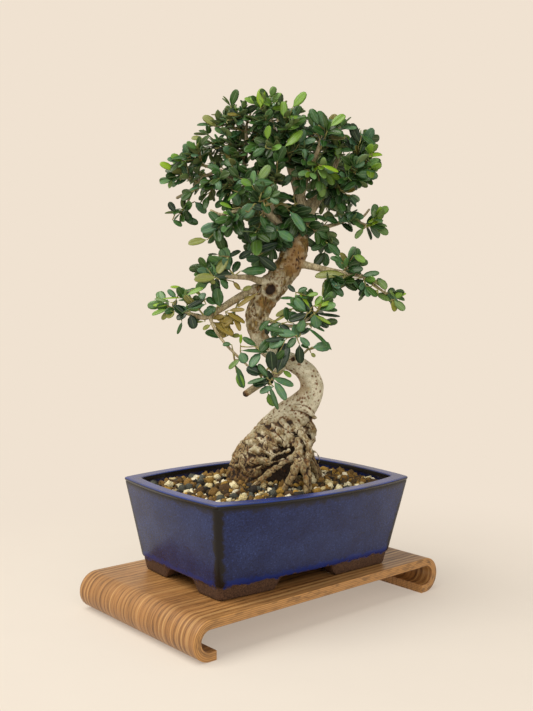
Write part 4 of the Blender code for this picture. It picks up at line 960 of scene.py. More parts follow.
def barkDepth(points, normals, edges, wood, patterns):
    # how deep a point lies below a near and a far mean of its surroundings, and in a fold or crack: the
    # measure behind the brown folds and the painted shade in creases
    averaged, depths = points, []
    for turn in range(1, bark["farMean"] + 1):
        averaged = neighbourMean(averaged, edges)
        if turn in (bark["nearMean"], bark["farMean"]):
            depths.append(np.einsum("ij,ij->i", averaged - points, normals) / mm)
    folded = 0.3 * wood.foot * np.maximum(patterns["rolls"], patterns["wrinkles"])
    return 0.32 + depths[0] / 0.5 + depths[1] / 3.2 + folded + 0.22 * wood.upper * patterns["fissures"]


def barkColours(wood, normals, depth, ring, hollow, pits):
    # the material's marks: how deep a point is with its painted shade, how brown and how pitted it is, and
    # how aged its bark
    local, across, height, towards = wood.local, wood.across, wood.height, wood.towards
    inHollow = [np.hypot((across - at[0]) / size[0], (height - at[1]) / size[1])
                for at, size in bark["hollows"]]
    shaded = 1 - smoothStep(np.minimum(*inHollow) + 0.25 * noise(local, 4.0, 12), 0.7, 1.15)
    shaded = shaded * (1 - smoothStep(towards, 23, 27)) * (towards > 5)
    stubEnd = 1 - smoothStep(np.linalg.norm(local - bark["stubEnd"], axis=1), 2.6, 6.0)
    base = (1 - smoothStep(height, 94, 110)) * smoothStep(-across, 4, 14)
    lowRoots = (1 - smoothStep(height, 98, 120)) * wood.foot
    fibres = noise(np.column_stack([across, height * 0.4, towards]), 1.3, 21)
    # the painted shade under the roots deepens the depth; the cut stub end and the lowest bark, most on the
    # left, are darker too
    depthAndShade = np.clip(np.clip(depth, 0, 1.2) + 0.9 * shaded, 0, 1.2)
    depthAndShade = np.clip(depthAndShade + base * (0.36 + 0.35 * fibres) + 0.95 * stubEnd + 0.12 * lowRoots, 0, 1.2)
    centre, size = bark["brownPatch"]
    patchApart = np.hypot((across - centre[0]) / size[0], (height - centre[1]) / size[1]) + 9 * (towards < -1)
    patch = 0.75 * (1 - smoothStep(patchApart + 0.4 * noise(local, 5.0, 9), 0.5, 1.15))
    # browner where the trunk faces left, around height 160
    leftFacingBand = (1 - smoothStep(np.abs(height - 160), 14, 26)) * smoothStep(-normals @ acrossAxis, 0.15, 0.8)
    ochre = wood.foot * smoothStep(noise(local, 1.5, 17) + 0.5 * noise(local, 5.0, 18), 0.3, 0.8)
    blotched = wood.upper * smoothStep(noise(local, 1.5, 19) + 0.6 * noise(local, 6.0, 20), 0.2, 0.7)
    inside = 0.55 * leftFacingBand * wood.onTrunk
    browning = np.max([patch, inside, stubEnd, 0.75 * ochre, 0.75 * blotched], axis=0)
    browning = browning * (1 - 0.8 * ring * (1 - hollow))
    patches = smoothStep(0.6 * noise(local, 6.0, 13) + noise(local, 2.4, 14), -0.25, 0.45)
    ageing = np.max([wood.upper * (0.45 + 0.55 * patches), wood.foot * (0.3 + 0.5 * patches), base,
                     0.85 * lowRoots, 0.6 * wood.limbs], axis=0)
    return np.column_stack([depthAndShade, browning, 0.9 * pits]), np.clip(ageing, 0, 1) * (1 - 0.7 * ring)


def buildTree():
    # one skin over all the wood's tubes, then bark pushed in and out along the skin's normals
    chance = np.random.default_rng(bark["seed"])
    points, corners, counts, edges = remeshed(woodTubes(), bark["voxel"])
    for _ in range(bark["smoothing"]):
        points = smoothed(points, edges, 0.5)
    normals = quadNormals(points, corners)
    wood = woodZones(points)
    patterns = barkPatterns(wood)
    push = np.zeros(len(points))
    for zone, depths in bark["relief"].items():
        push += getattr(wood, zone) * sum(depth * patterns[name] for name, depth in depths.items())
    pits = pitMarks(wood, chance)
    ring, hollow = branchScar(wood, *bark["scar"])
    knotRing, knotHollow = branchScar(wood, *bark["knot"])
    push += 1.5 * ring - 3.2 * hollow + 0.7 * knotRing - 1.2 * knotHollow - bark["pitDepth"] * pits
    thin = np.clip(1 - smoothStep(wood.reach, 3, 9) * 0.8, 0.2, 1)  # less relief on the thin limbs
    points = points + normals * (push * np.where(wood.foot > 0.5, 1, thin))[:, None] * mm
    points = smoothed(points, edges, 0.2)
    normals = quadNormals(points, corners)
    depth = barkDepth(points, normals, edges, wood, patterns)
    # the scar's and the knot's hollows are painted dark as shade
    depth = np.maximum(depth, 1.2 * np.maximum(hollow, knotHollow))
    marks, age = barkColours(wood, normals, depth, ring, hollow, pits)
    mesh = meshFrom("barkedTrunk", points, corners, counts)
    marks = {"barkMarks": marks, "barkAge": age}
    made = makePiece("barkedTrunk", mesh, [oliveBark()], ["trunk"], marks)
    thinned = made.modifiers.new("thinned", "DECIMATE")  # fewer triangles where the bark is smooth
    thinned.ratio = bark["mostTriangles"] / (2 * len(counts))
    made.data = meshAsShown(made)
    made.modifiers.clear()
    print("tree:", len(made.data.polygons), "faces")
    return BVHTree.FromPolygons(points.tolist(), corners.reshape(-1, 4).tolist())


# Leaf sprays: green twigs with opposite pairs of leaves, each pair turned a quarter from the last.
# Each row is (name, foot, tip, leaf pairs, leaf length).

sprays = [
    ("top_centre", (-4, 341, 0), (-8, 355, 4), 4, 13), ("top_left", (-17, 341, -13), (-29, 348, -8), 4, 13),
    ("top_far_left", (-19, 334, -13), (-42, 341, -12), 5, 16),
    ("high_left", (-20, 320, -11), (-49, 326, -4), 5, 14), ("top_right", (6, 326, -2), (11, 344, 8), 5, 17),
    ("left_end_high", (-47, 308, -7), (-60, 318, -3), 4, 16),
    ("left_end", (-54, 298, -10), (-70, 306, -6), 4, 15),
    ("left_end_low", (-61, 282, -12), (-67, 272, -4), 4, 15),
    ("left_fork_front", (-36, 305, -5), (-48, 291, 10), 4, 14),
    ("left_fork_middle", (-26, 299, -3), (-35, 287, 14), 4, 15),
    ("left_limb_outer", (-22, 276, 20), (-30, 261, 24), 4, 17),
    ("left_limb_end", (-31, 274, 21), (-42, 254, 17), 5, 16),
    ("left_limb_inner", (-5, 274, 12), (-14, 249, 15), 4, 20),
    ("front_low", (8, 266, 2), (-4, 245, 15), 5, 19), ("front_leader", (13, 281, -2), (21, 264, 15), 4, 18),
    ("front_left", (8, 298, -2), (-7, 296, 20), 5, 16), ("front_high", (13, 308, -4), (10, 320, 14), 5, 17),
    ("front_high_left", (6, 314, -1), (-5, 324, 12), 5, 15),
    ("front_right", (28, 312, 4), (34, 305, 20), 4, 15), ("high_right", (33, 320, 6), (39, 339, 9), 5, 17),
    ("right_end_high", (59, 312, 3), (60, 329, 5), 5, 15), ("right_end", (57, 307, 1), (71, 312, 5), 4, 15),
    ("right_end_front", (51, 303, -3), (61, 300, 9), 5, 17),
    ("right_fork_front", (38, 297, -12), (51, 292, 6), 4, 15),
    ("right_fork_high", (46, 314, -12), (44, 326, -2), 4, 16),
    ("right_arm_end", (65, 269, -3), (77, 269, 1), 4, 15),
    ("right_arm_top", (49, 271, -10), (57, 278, -4), 4, 15),
    ("right_arm_front", (36, 267, -10), (42, 255, 4), 4, 16),
    ("right_low_top", (50, 234, 14), (55, 245, 17), 4, 15),
    ("right_low_under", (39, 236, 12), (43, 221, 17), 4, 17),
    ("right_low_outer", (64, 231, 15), (66, 222, 19), 4, 15),
    ("right_low_end", (79, 221, 14), (87, 218, 12), 4, 14),
    ("left_low_end", (-64, 207, 14), (-80, 213, 11), 5, 14),
    ("left_low_riser", (-55, 204, 16), (-61, 221, 16), 4, 14),
    ("left_low_outer", (-45, 202, 16), (-54, 214, 22), 5, 16),
    ("left_low_top", (-34, 208, 14), (-36, 221, 18), 4, 17),
    ("left_low_under", (-21, 216, 9), (-27, 202, 14), 4, 17),
    ("left_upper_end", (-35, 230, 20), (-47, 229, 20), 3, 16),
    ("left_upper_top", (-25, 231, 18), (-35, 244, 17), 4, 16),
    ("hanging_outer", (-25, 179, 24), (-21, 157, 27), 4, 16),
    ("hanging_end", (-6, 163, 26), (2, 145, 28), 5, 17),
    ("hanging_top", (-5, 163, 26), (8, 180, 31), 4, 19), ("mid_end", (27, 203, 21), (38, 213, 25), 4, 16),
    ("mid_riser", (20, 198, 20), (23, 219, 22), 4, 16), ("mid_right", (23, 199, 20), (43, 200, 20), 4, 16),
    ("mid_front", (9, 198, 17), (-4, 183, 26), 5, 17), ("knot_end", (26, 181, 18), (36, 184, 20), 3, 15),
    ("back_left_high", (-14, 297, -46), (-34, 312, -64), 5, 16),
    ("back_left_low", (-6, 285, -43), (-18, 278, -62), 5, 16),
    ("back_right_high", (37, 309, -40), (44, 330, -54), 5, 16),
    ("back_right_low", (33, 297, -35), (48, 292, -58), 5, 16),
    ("back_top", (4, 343, -26), (0, 358, -34), 5, 16),
]
# sprays by the start of their names: some have only leaves of their own, some few, some a single side twig
bareSprays = ("hanging_", "knot_", "mid_front", "mid_right", "left_low_under", "left_low_top")
sparseSprays = ("mid_", "left_low_", "right_low_end", "right_low_outer")
lightSprays = ("left_upper", "right_low", "right_arm", "left_end_low", "left_limb")
youngSprays = ("top_centre", "front_right", "right_end", "right_arm_end", "left_low_end")
# leaves with a place of their own: (across, height, towards, angle up from the right, length, tone, width)
ownLeaves = {
    "top_centre": [
        (-9, 347, 7, 90, 13, "new"), (-2, 348, 6, 140, 11, "bright"), (-4, 340, 3, -150, 9, "blue"),
    ],
    "top_left": [(-25, 344, -6, 140, 7, "dark"), (-22, 346, -8, 40, 6, "dark")],
    "top_far_left": [(-40, 337, -9, 140, 12, "olive"), (-44, 338, -9, 180, 10, "mid")],
    "high_left": [(-49, 327, -1, 180, 8, "olive")],
    "top_right": [
        (13, 347, 11, 45, 13, "bright"), (7, 340, 11, 90, 11, "bright"), (8, 341, 10, -10, 14, "bright"),
    ],
    "left_end_high": [(-58, 315, 0, 115, 9, "mid"), (-60, 313, 0, 180, 11, "mid")],
    "left_end": [
        (-68, 306, -4, 40, 9, "bright"), (-69, 305, -3, 155, 11, "new"), (-65, 301, -4, -155, 6, "mid"),
        (-65, 298, -4, -140, 7, "mid"), (-51, 297, -7, -135, 9, "blue"),
    ],
    "left_end_low": [
        (-68, 276, -4, 130, 8, "dark"), (-70, 270, -1, -30, 8, "mid"), (-62, 271, -4, -15, 10, "mid"),
        (-55, 284, -9, -45, 11, "blue"),
    ],
    "left_limb_outer": [(-26, 263, 26, 135, 11, "mid"), (-24, 270, 25, -70, 13, "dark")],
    "left_limb_end": [(-35, 265, 23, 130, 11, "mid"), (-44, 255, 20, -165, 13, "olive")],
    "left_limb_inner": [
        (-12, 280, 20, -130, 12, "blue", 8), (-4, 276, 20, 160, 11, "dark", 6),
        (-8, 272, 20, -60, 12, "mid", 6), (-16, 274, 21, -160, 11, "mid", 5),
        (-22, 277, 22, -90, 10, "mid", 5), (-27, 276, 22, 150, 9, "bright", 4),
        (-14, 252, 17, 105, 12, "dark"), (-13, 248, 18, -150, 10, "dark"),
    ],
    "front_low": [
        (0, 268, 18, -95, 12, "mid", 9), (4, 262, 19, -30, 12, "blue", 7), (6, 254, 15, -160, 17, "dark"),
        (-9, 245, 18, -40, 15, "dark"), (3, 259, 9, 135, 12, "bright"), (4, 262, 8, -40, 12, "mid"),
    ],
    "front_leader": [
        (15, 289, 1, 30, 9, "mid"), (14, 286, 1, 160, 12, "mid"), (12, 276, 14, -50, 17, "blue", 6),
    ],
    "front_left": [
        (-10, 295, 21, 50, 13, "pale"), (7, 294, 1, 50, 10, "mid"), (1, 294, 21, 180, 13, "mid"),
    ],
    "front_high": [
        (8, 319, 17, 40, 16, "bright"), (14, 317, 11, 0, 11, "mid"), (16, 307, 1, 155, 9, "mid"),
    ],
    "front_high_left": [
        (-5, 319, 12, -145, 10, "mid"), (3, 312, 6, 180, 11, "mid"), (-4, 324, 15, 85, 9, "bright"),
    ],
    "front_right": [(33, 306, 23, -20, 12, "new"), (32, 307, 17, -130, 10, "new")],
    "high_right": [
        (31, 335, 12, 115, 12, "mid"), (39, 334, 12, 35, 13, "bright"), (32, 321, 10, 50, 9, "dark"),
        (37, 330, 11, 0, 11, "mid"),
    ],
    "right_end_high": [
        (60, 324, 8, 120, 14, "dark"), (61, 329, 8, -30, 12, "mid"), (56, 319, 7, 180, 9, "mid"),
    ],
    "right_end": [(64, 314, 8, 15, 12, "new"), (56, 300, 4, 110, 14, "bright")],
    "right_end_front": [(51, 301, 5, 0, 8, "mid"), (57, 302, 12, 0, 15, "mid")],
    "right_fork_front": [
        (38, 296, -3, 20, 10, "mid"), (49, 291, 9, 40, 10, "mid"), (43, 291, -3, -125, 10, "dark"),
        (32, 293, -9, -145, 9, "mid"),
    ],
    "right_fork_high": [(46, 314, -3, 90, 13, "bright")],
    "right_arm_end": [
        (65, 266, 0, -135, 9, "pale"), (66, 267, 2, 30, 12, "new"), (69, 267, 3, 0, 10, "mid"),
    ],
    "right_arm_top": [
        (48, 270, -7, 160, 10, "mid"), (47, 271, -4, 20, 16, "blue"), (49, 270, -6, -30, 10, "dark"),
    ],
    "right_arm_front": [
        (38, 256, 3, -150, 11, "mid"), (39, 255, 7, -45, 12, "mid"), (40, 272, -7, 165, 9, "mid"),
    ],
    "right_low_top": [
        (48, 241, 18, 155, 8, "mid"), (56, 246, 20, -25, 9, "bright"), (53, 236, 18, -10, 9, "mid"),
    ],
    "right_low_under": [
        (40, 235, 15, -67, 17, "blue", 4), (51, 233, 17, 179, 20, "olive", 6),
        (52, 230, 15, -138, 8, "yellow", 5), (37, 229, 15, -100, 11, "olive", 1.4),
        (45, 225, 19, 35, 8, "mid"),
    ],
    "right_low_outer": [
        (69, 225, 17, -142, 10, "dark", 4.8), (54, 231, 17, -44, 12, "mid", 3),
        (70, 226, 17, 151, 6, "mid", 3.4), (74, 223, 17, -129, 6, "yellow", 4),
        (73, 230, 17, -40, 9, "pale", 4.8), (69, 230, 17, -33, 8, "olive", 2.4),
        (62, 232, 18, 15, 12, "mid", 4),
    ],
    "right_low_end": [
        (83, 215, 15, 147, 10, "pale", 6), (84, 216, 15, -73, 8, "yellow", 4),
        (85, 216, 15, -44, 10, "pale", 4.8), (86, 217, 15, 51, 6, "bright", 4),
        (88, 218, 15, 28, 6, "new", 1.6), (86, 217, 15, 123, 7, "pale", 3), (79, 225, 15, 135, 8, "mid", 4),
    ],
    "left_low_end": [
        (-65, 215, 15, 136, 8, "blue", 3.4), (-61, 222, 15, 171, 8, "new", 2),
        (-58, 219, 15, 23, 7, "mid", 3.5), (-54, 221, 15, -33, 7, "olive", 3),
        (-60, 215, 15, 178, 14, "new", 1.6), (-69, 212, 15, 167, 11, "pale", 2.2),
        (-71, 210, 15, 177, 10, "new", 4), (-71, 207, 15, -168, 11, "bright", 3),
        (-67, 210, 17, -38, 9, "dark", 6), (-61, 199, 15, -103, 9, "mid", 2.2),
        (-69, 207, 15, -128, 9, "olive", 3.5), (-66, 206, 15, -139, 7, "yellow", 4),
    ],
    "left_low_riser": [
        (-59, 213, 18, 86, 8, "pale", 2.2), (-51, 215, 18, -170, 12, "mid", 2.2),
        (-57, 204, 18, -157, 8, "dark", 5), (-55, 204, 18, -72, 10, "dark", 6),
    ],
    "left_low_outer": [
        (-44, 215, 22, -154, 14, "dark", 3), (-44, 211, 22, -162, 12, "mid", 4),
        (-45, 199, 18, -179, 10, "olive", 1.6), (-57, 217, 25, 25, 12, "bright", 3.5),
    ],
    "left_low_top": [
        (-35, 209, 18, 97, 13, "mid", 7), (-37, 211, 18, 147, 8, "mid", 5),
        (-37, 209, 18, -153, 7, "mid", 5), (-41, 197, 18, -149, 6, "yellow", 3),
    ],
    "left_low_under": [
        (-24, 203, 15, -150, 13, "gold", 6), (-34, 203, 14, -60, 12, "gold", 5),
        (-30, 199, 14, -110, 11, "gold", 6), (-31, 206, 16, -26, 15, "gold", 5),
        (-26, 205, 16, -61, 13, "gold", 3.5), (-40, 202, 15, -12, 15, "gold", 4),
        (-40, 199, 14, -28, 17, "gold", 6), (-31, 203, 15, -174, 9, "gold", 3.5),
        (-29, 207, 15, 4, 11, "gold", 3), (-27, 189, 14, 9, 6, "olive", 4),
        (-33, 188, 15, 160, 12, "mid", 6), (-9, 219, 14, -149, 16, "gold", 3),
        (-39, 196, 14, -41, 10, "gold", 3.5),
    ],
    "left_upper_end": [
        (-26, 227, 16, -49, 7, "gold", 3), (-20, 221, 16, 18, 7, "olive", 3),
        (-34, 229, 17, -49, 6, "mid", 3), (-37, 229, 23, 180, 15, "olive"), (-43, 229, 23, -35, 6, "olive"),
        (-35, 228, 23, -40, 8, "mid"),
    ],
    "left_upper_top": [
        (-36, 245, 20, 180, 7, "dark"), (-33, 244, 20, -135, 8, "mid"), (-29, 244, 20, -125, 14, "olive"),
        (-29, 243, 20, 35, 9, "dark"), (-21, 234, 21, 0, 17, "mid"),
    ],
    "hanging_outer": [
        (-23, 170, 26, -65, 16, "mid", 4), (-20, 174, 26, -142, 10, "pale", 3.5),
        (-20, 179, 26, -63, 8, "blue", 6), (-26, 184, 26, -179, 6, "mid", 3.4),
        (-20, 184, 26, 91, 7, "new", 2), (-9, 183, 26, 148, 11, "mid", 4),
        (-6, 179, 26, -129, 12, "blue", 6), (-20, 180, 27, 1, 18, "mid", 3.4),
    ],
    "hanging_end": [
        (0, 159, 29, -170, 11, "dark", 6), (-4, 168, 28, -60, 12, "dark", 6),
        (3, 156, 30, 200, 10, "blue", 4), (2, 162, 29, -18, 15, "blue", 4.7),
        (3, 160, 29, -55, 15, "blue", 4.8), (0, 157, 30, -70, 17, "mid", 3),
        (-2, 162, 30, -161, 13, "mid", 3), (-2, 160, 28, -162, 9, "dark", 5.4),
        (-1, 162, 29, 128, 11, "mid", 4), (-5, 164, 27, 154, 11, "dark", 7),
    ],
    "hanging_top": [
        (2, 166, 30, 94, 14, "dark", 7), (5, 165, 31, 70, 21, "dark", 8.5),
        (9, 167, 28, -36, 7, "bright", 3.4), (10, 187, 29, -155, 11, "blue", 5),
    ],
    "mid_end": [
        (27, 209, 26, 119, 14, "new", 2.8), (29, 211, 26, 18, 11, "new", 4.7),
        (30, 211, 26, 57, 8, "bright", 4), (32, 209, 26, 1, 13, "mid", 3.4),
        (30, 206, 26, -6, 17, "dark", 2.2), (30, 205, 26, -27, 12, "new", 2.2),
        (30, 206, 26, -77, 10, "blue", 7), (26, 206, 26, -157, 14, "dark", 4.7),
        (26, 206, 26, 151, 16, "mid", 3), (24, 207, 26, 136, 11, "blue", 5.4),
        (23, 202, 26, -113, 9, "blue", 5.4),
    ],
    "mid_riser": [
        (17, 216, 25, 177, 10, "mid", 3), (17, 220, 25, 140, 7, "dark", 3), (18, 220, 25, 30, 7, "mid", 4),
        (24, 218, 25, 12, 8, "bright", 3.4), (18, 218, 25, -12, 7, "mid", 3.4),
        (15, 209, 16, -159, 12, "olive", 3.4), (12, 205, 16, -153, 10, "yellow", 3),
        (-2, 199, 17, -89, 8, "dark", 3.5),
    ],
    "mid_front": [
        (4, 199, 18, -100, 10, "blue", 5), (8, 199, 19, -155, 11, "mid", 5),
        (12, 200, 20, 100, 10, "mid", 5), (16, 199, 21, -70, 10, "blue", 6),
        (6, 198, 20, -40, 9, "dark", 5), (0, 201, 18, -130, 10, "mid", 5),
        (11, 189, 27, -171, 14, "dark", 3.4), (11, 188, 27, -151, 12, "blue", 5.4),
        (18, 191, 27, 171, 12, "blue", 5.4), (15, 192, 25, 164, 18, "mid", 3.4),
        (18, 190, 27, -131, 9, "mid", 4.7), (20, 185, 27, -89, 13, "dark", 5.4),
        (11, 194, 20, -160, 10, "mid", 4),
    ],
    "knot_end": [
        (29, 183, 23, 1, 12, "blue", 6), (27, 182, 23, 151, 6, "mid", 3),
        (28, 179, 23, -44, 4, "olive", 2.4),
    ],
    "mid_right": [
        (20, 190, 24, -47, 9, "blue", 4), (28, 196, 24, -150, 8, "dark", 3.4),
        (26, 199, 24, -20, 12, "mid", 3), (24, 197, 24, -34, 23, "mid", 3),
    ],
}
# more twigs on the same limbs, for the crown's back and inside: (spray, foot, tip, pairs, length)
extraTwigs = [
    ("back_left_high", (-10, 291, -45), (-30, 286, -58), 4, 14),
    ("back_left_high", (-12, 295, -46), (-6, 318, -58), 4, 14),
    ("back_left_high", (-14, 297, -46), (-44, 318, -44), 4, 14),
    ("back_left_low", (3, 273, -36), (-8, 258, -50), 4, 14),
    ("back_left_low", (8, 266, -30), (-14, 262, -36), 3, 13),
    ("back_left_low", (-2, 280, -41), (8, 292, -60), 4, 14),
    ("back_right_high", (38, 309, -40), (60, 318, -48), 4, 14),
    ("back_right_high", (39, 313, -42), (28, 334, -52), 4, 14),
    ("back_right_low", (31, 292, -32), (60, 288, -40), 4, 14),
    ("back_right_low", (28, 288, -29), (30, 272, -48), 4, 14),
    ("back_right_low", (34, 298, -36), (24, 310, -60), 4, 14),
    ("back_top", (7, 333, -26), (-14, 336, -42), 4, 14), ("back_top", (9, 325, -23), (26, 330, -40), 4, 14),
    ("back_top", (10, 320, -21), (-4, 316, -44), 4, 14), ("back_top", (5, 340, -26), (16, 348, -36), 4, 13),
    ("top_left", (-19, 339, -14), (-26, 340, -34), 4, 13),
    ("high_left", (-19, 322, -12), (-38, 322, -32), 4, 13),
    ("left_end", (-48, 303, -8), (-60, 300, -26), 4, 13),
    ("left_fork_front", (-30, 302, -5), (-44, 300, -24), 4, 13),
    ("top_right", (4, 329, -1), (20, 334, -8), 4, 13),
    ("right_fork_high", (48, 322, -10), (56, 330, -26), 4, 13),
    ("right_fork_front", (44, 309, -12), (60, 302, -26), 4, 13),
    ("high_right", (33, 326, 7), (26, 340, -4), 4, 13), ("front_high", (12, 310, -3), (24, 322, 6), 4, 13),
    ("front_left", (-7, 290, 0), (-20, 306, 12), 4, 13),
    ("left_fork_middle", (-20, 297, -3), (-32, 312, 8), 4, 13),
    ("front_leader", (20, 285, -6), (6, 276, 10), 4, 14),
    ("front_right", (27, 310, 3), (18, 300, 16), 4, 13),
    ("right_fork_front", (40, 300, -12), (46, 284, 0), 3, 13),
    ("front_high_left", (9, 318, -2), (-10, 332, 4), 4, 13),
    ("top_centre", (-2, 340, 1), (-14, 336, 10), 4, 12),
    ("high_left", (-19, 325, -13), (-30, 321, -3), 4, 14),
    ("top_left", (-18, 336, -14), (-7, 331, -6), 4, 14),
    ("top_far_left", (-19, 330, -13), (-7, 321, -8), 4, 14),
    ("high_left", (-19, 318, -11), (-28, 310, -6), 4, 14),
    ("left_limb_inner", (-10, 278, 16), (-6, 292, 24), 4, 13),
]
leafLooks = {
    "seed": 3, "thickness": 0.32, "cup": 0.12, "arch": 0.08, "sway": 0.05,
    # width over length at the usual length; longer leaves are slimmer by a power of their length
    "widthRatio": 0.54, "usualLength": 11, "slimming": 0.35, "ownWiden": 1.2, "ownLengthen": 1.04,
    "spread": 58, "firstPair": 0.2, "lastPair": 0.97, "pairScale": 0.8, "quarter": 62, "sidePairs": 3,
    "twigRadius": 0.75, "sideTwig": 0.62, "stalkRadius": (0.55, 0.35),
    # the blue stop stands partly for a painted sheen of the sky, the dark one partly for painted shade
    "dark": "#0C220E", "mid": "#21491A", "bright": "#628C20", "blue": "#446A52", "young": "#7E9E1C",
    "olive": "#857430", "under": "#76844E", "rib": "#9DB282", "mottleSize": 2.381,
    "twigBrown": "#6A5A34", "twigOlive": "#7F7A42", "twigPale": "#9A9A5C", "twigMark": 3.333,
    "youth": 0.12, "youngYouth": 0.5, "innerYouth": 0.1, "oldShare": 0.03, "old": 0.6,
}
# the blue and pale tones stand for a painted sheen of the sky on the leaves' tops; dark leaves are partly
# painted shade
tones = {  # how bright, how young and how golden a leaf is, each from 0 to 1
    "dark": (0.05, 0.0, 0.0), "mid": (0.42, 0.05, 0.0), "bright": (0.8, 0.3, 0.0), "blue": (0.64, 0.0, 0.0),
    "new": (0.9, 0.85, 0.0), "pale": (0.7, 0.1, 0.15), "olive": (0.6, 0.35, 0.5), "yellow": (0.75, 0.6, 0.6),
    "gold": (0.6, 0.1, 1.0),
}
leafAlong = np.array([0.03, 0.10, 0.28, 0.54, 0.80, 0.95])  # shares of a leaf's length
leafHalf = np.array([0.07, 0.20, 0.78, 1.0, 0.86, 0.50])  # its half width there, as a share of the widest
leafAcross = np.array([-1, -0.5, 0, 0.5, 1, 0.5, 0, -0.5])  # round its section: across, and up or down
leafDepth = np.array([0, 1, 0.5, 1, 0, -1, -1.5, -1])


def oliveLeaf():
    # leathery olive leaf: satin blue-green above, the blue partly a painted sheen of the sky, with a pale
    # midrib and rim, paler and dull beneath
    made, tree, shader = newMaterial("oliveLeaf")
    tone = addNode(tree, "Attribute", {}, out="Vector", attribute_name="leafTone")
    brightness, youth, age = addNode(tree, "SeparateXYZ", {"Vector": tone}).node.outputs[:]
    across, depth = (addNode(tree, "Attribute", {}, out="Fac", attribute_name=mark)
                     for mark in ("bladeAcross", "bladeDepth"))
    place = addNode(tree, "TexCoord", {}, out="Object")
    mottleScale = perMetre(leafLooks["mottleSize"])
    mottle = addNode(tree, "TexNoise", {"Vector": place, "Scale": mottleScale, "Detail": 3.0})
    varied = addNode(tree, "Math", {0: mottle, 1: 0.3, 2: -0.15}, operation="MULTIPLY_ADD")
    level = addNode(tree, "Math", {0: brightness, 1: varied}, operation="ADD")
    # from dark to bright green: the blue stop is partly painted sheen, the dark end partly painted shade
    green = addNode(tree, "ValToRGB", {"Fac": level}, stops=[
        (0.0, leafLooks["dark"]), (0.38, leafLooks["mid"]),
        (0.58, leafLooks["blue"]), (0.88, leafLooks["bright"])])
    apart = addNode(tree, "Math", {0: across}, operation="ABSOLUTE")
    rib = addNode(tree, "MapRange", {0: apart, 1: 0.01, 2: 0.08, 3: 0.3, 4: 0.0})
    rim = addNode(tree, "MapRange", {0: apart, 1: 0.88, 2: 1.0, 3: 0.0, 4: 0.25})
    line = addNode(tree, "Math", {0: rib, 1: rim}, operation="MAXIMUM")
    beneath = addNode(tree, "MapRange", {0: depth, 1: -0.1, 2: -0.6, 3: 0.0, 4: 0.6})
    for share, colour in ((youth, "young"), (age, "olive"), (line, "rib"), (beneath, "under")):
        green = addNode(tree, "Mix", {0: share, 6: green, 7: leafLooks[colour]}, **blended)
    rough = addNode(tree, "MapRange", {0: beneath, 1: 0.0, 2: 0.6, 3: 0.34, 4: 0.7})
    bump = addNode(tree, "Bump", {"Height": mottle, "Strength": 0.2, "Distance": 0.0003}, out="Normal")
    sockets = {"Base Color": green, "Roughness": rough, "Normal": bump,
               "IOR": 1.45, "Specular IOR Level": 0.45}
    setSockets(tree, shader, sockets)
    return made


def greenTwig():
    # this year's wood: smooth olive-green skin going brown with age
    made, tree, shader = newMaterial("greenTwig")
    place = addNode(tree, "TexCoord", {}, out="Object")
    markScale = perMetre(leafLooks["twigMark"])
    marks = addNode(tree, "TexNoise", {"Vector": place, "Scale": markScale, "Detail": 3.0})
    colour = addNode(tree, "ValToRGB", {"Fac": marks}, stops=[
        (0.35, leafLooks["twigBrown"]), (0.5, leafLooks["twigOlive"]), (0.65, leafLooks["twigPale"])])
    bump = addNode(tree, "Bump", {"Height": marks, "Strength": 0.4, "Distance": 0.0003}, out="Normal")
    setSockets(tree, shader, {"Base Color": colour, "Roughness": 0.65, "Normal": bump})
    return made


def leafShapes(leaves, widths, chance):
    # each leaf is a closed spindle: at a share u of its length the section is half a width h(u) either side,
    # lifted at the edges by cup*x^2 and bent down along its length by arch*u^2
    foot, ahead, face, length, tone = (np.array(column) for column in zip(*leaves))
    count = len(length)
    face = unit(face - ahead * np.einsum("ij,ij->i", face, ahead)[:, None])
    side = np.cross(ahead, face)
    cup = leafLooks["cup"] * chance.uniform(0.2, 1.6, count)[:, None, None]
    bend = leafLooks["arch"] * chance.uniform(-0.3, 2.0, count) * length
    drift = chance.normal(0, leafLooks["sway"], count) * length
    u, h = leafAlong[None, :, None], leafHalf[None, :, None]
    x, z = leafAcross[None, None, :], leafDepth[None, None, :]
    half = (np.array(widths) / 2)[:, None, None]
    forward = length[:, None, None] * u * np.ones_like(x)
    sideways = half * h * x + drift[:, None, None] * u**2
    up = half * cup * 2 * h * x**2 - bend[:, None, None] * u**2
    up = up + z * leafLooks["thickness"] * mm / 2 * np.minimum(1, h * 3)
    moves = ((forward, ahead), (sideways, side), (up, face))
    rings = foot[:, None, None] + sum(move[..., None] * axis[:, None, None] for move, axis in moves)
    tip = foot + ahead * length[:, None] + side * drift[:, None] - face * bend[:, None]
    points = np.concatenate([foot[:, None], rings.reshape(count, -1, 3), tip[:, None]], axis=1)
    corners, counts = closedTubeFaces(len(leafAlong), len(leafAcross))
    each = points.shape[1]
    offset = np.arange(count)[:, None] * each
    shape = (points.reshape(-1, 3), (corners[None] + offset).ravel(), np.tile(counts, count))
    across, depth = (np.tile([0, *np.tile(values, len(leafAlong)), 0], count)
                     for values in (leafAcross, leafDepth))
    return shape, {"leafTone": np.repeat(tone, each, axis=0), "bladeAcross": across, "bladeDepth": depth}


def twigPath(foot, tip, sag, steps=9):
    # a quadratic curve whose middle hangs below the straight line, by a share of its length
    share = np.linspace(0, 1, steps)[:, None]
    middle = (foot + tip) / 2 - upAxis * sag * np.linalg.norm(tip - foot)
    return foot * (1 - share) ** 2 + middle * 2 * share * (1 - share) + tip * share**2


crownCentre = treePlace((5, 290, -14))
crownReach = np.array([72, 76, 50]) * mm  # across, up and towards


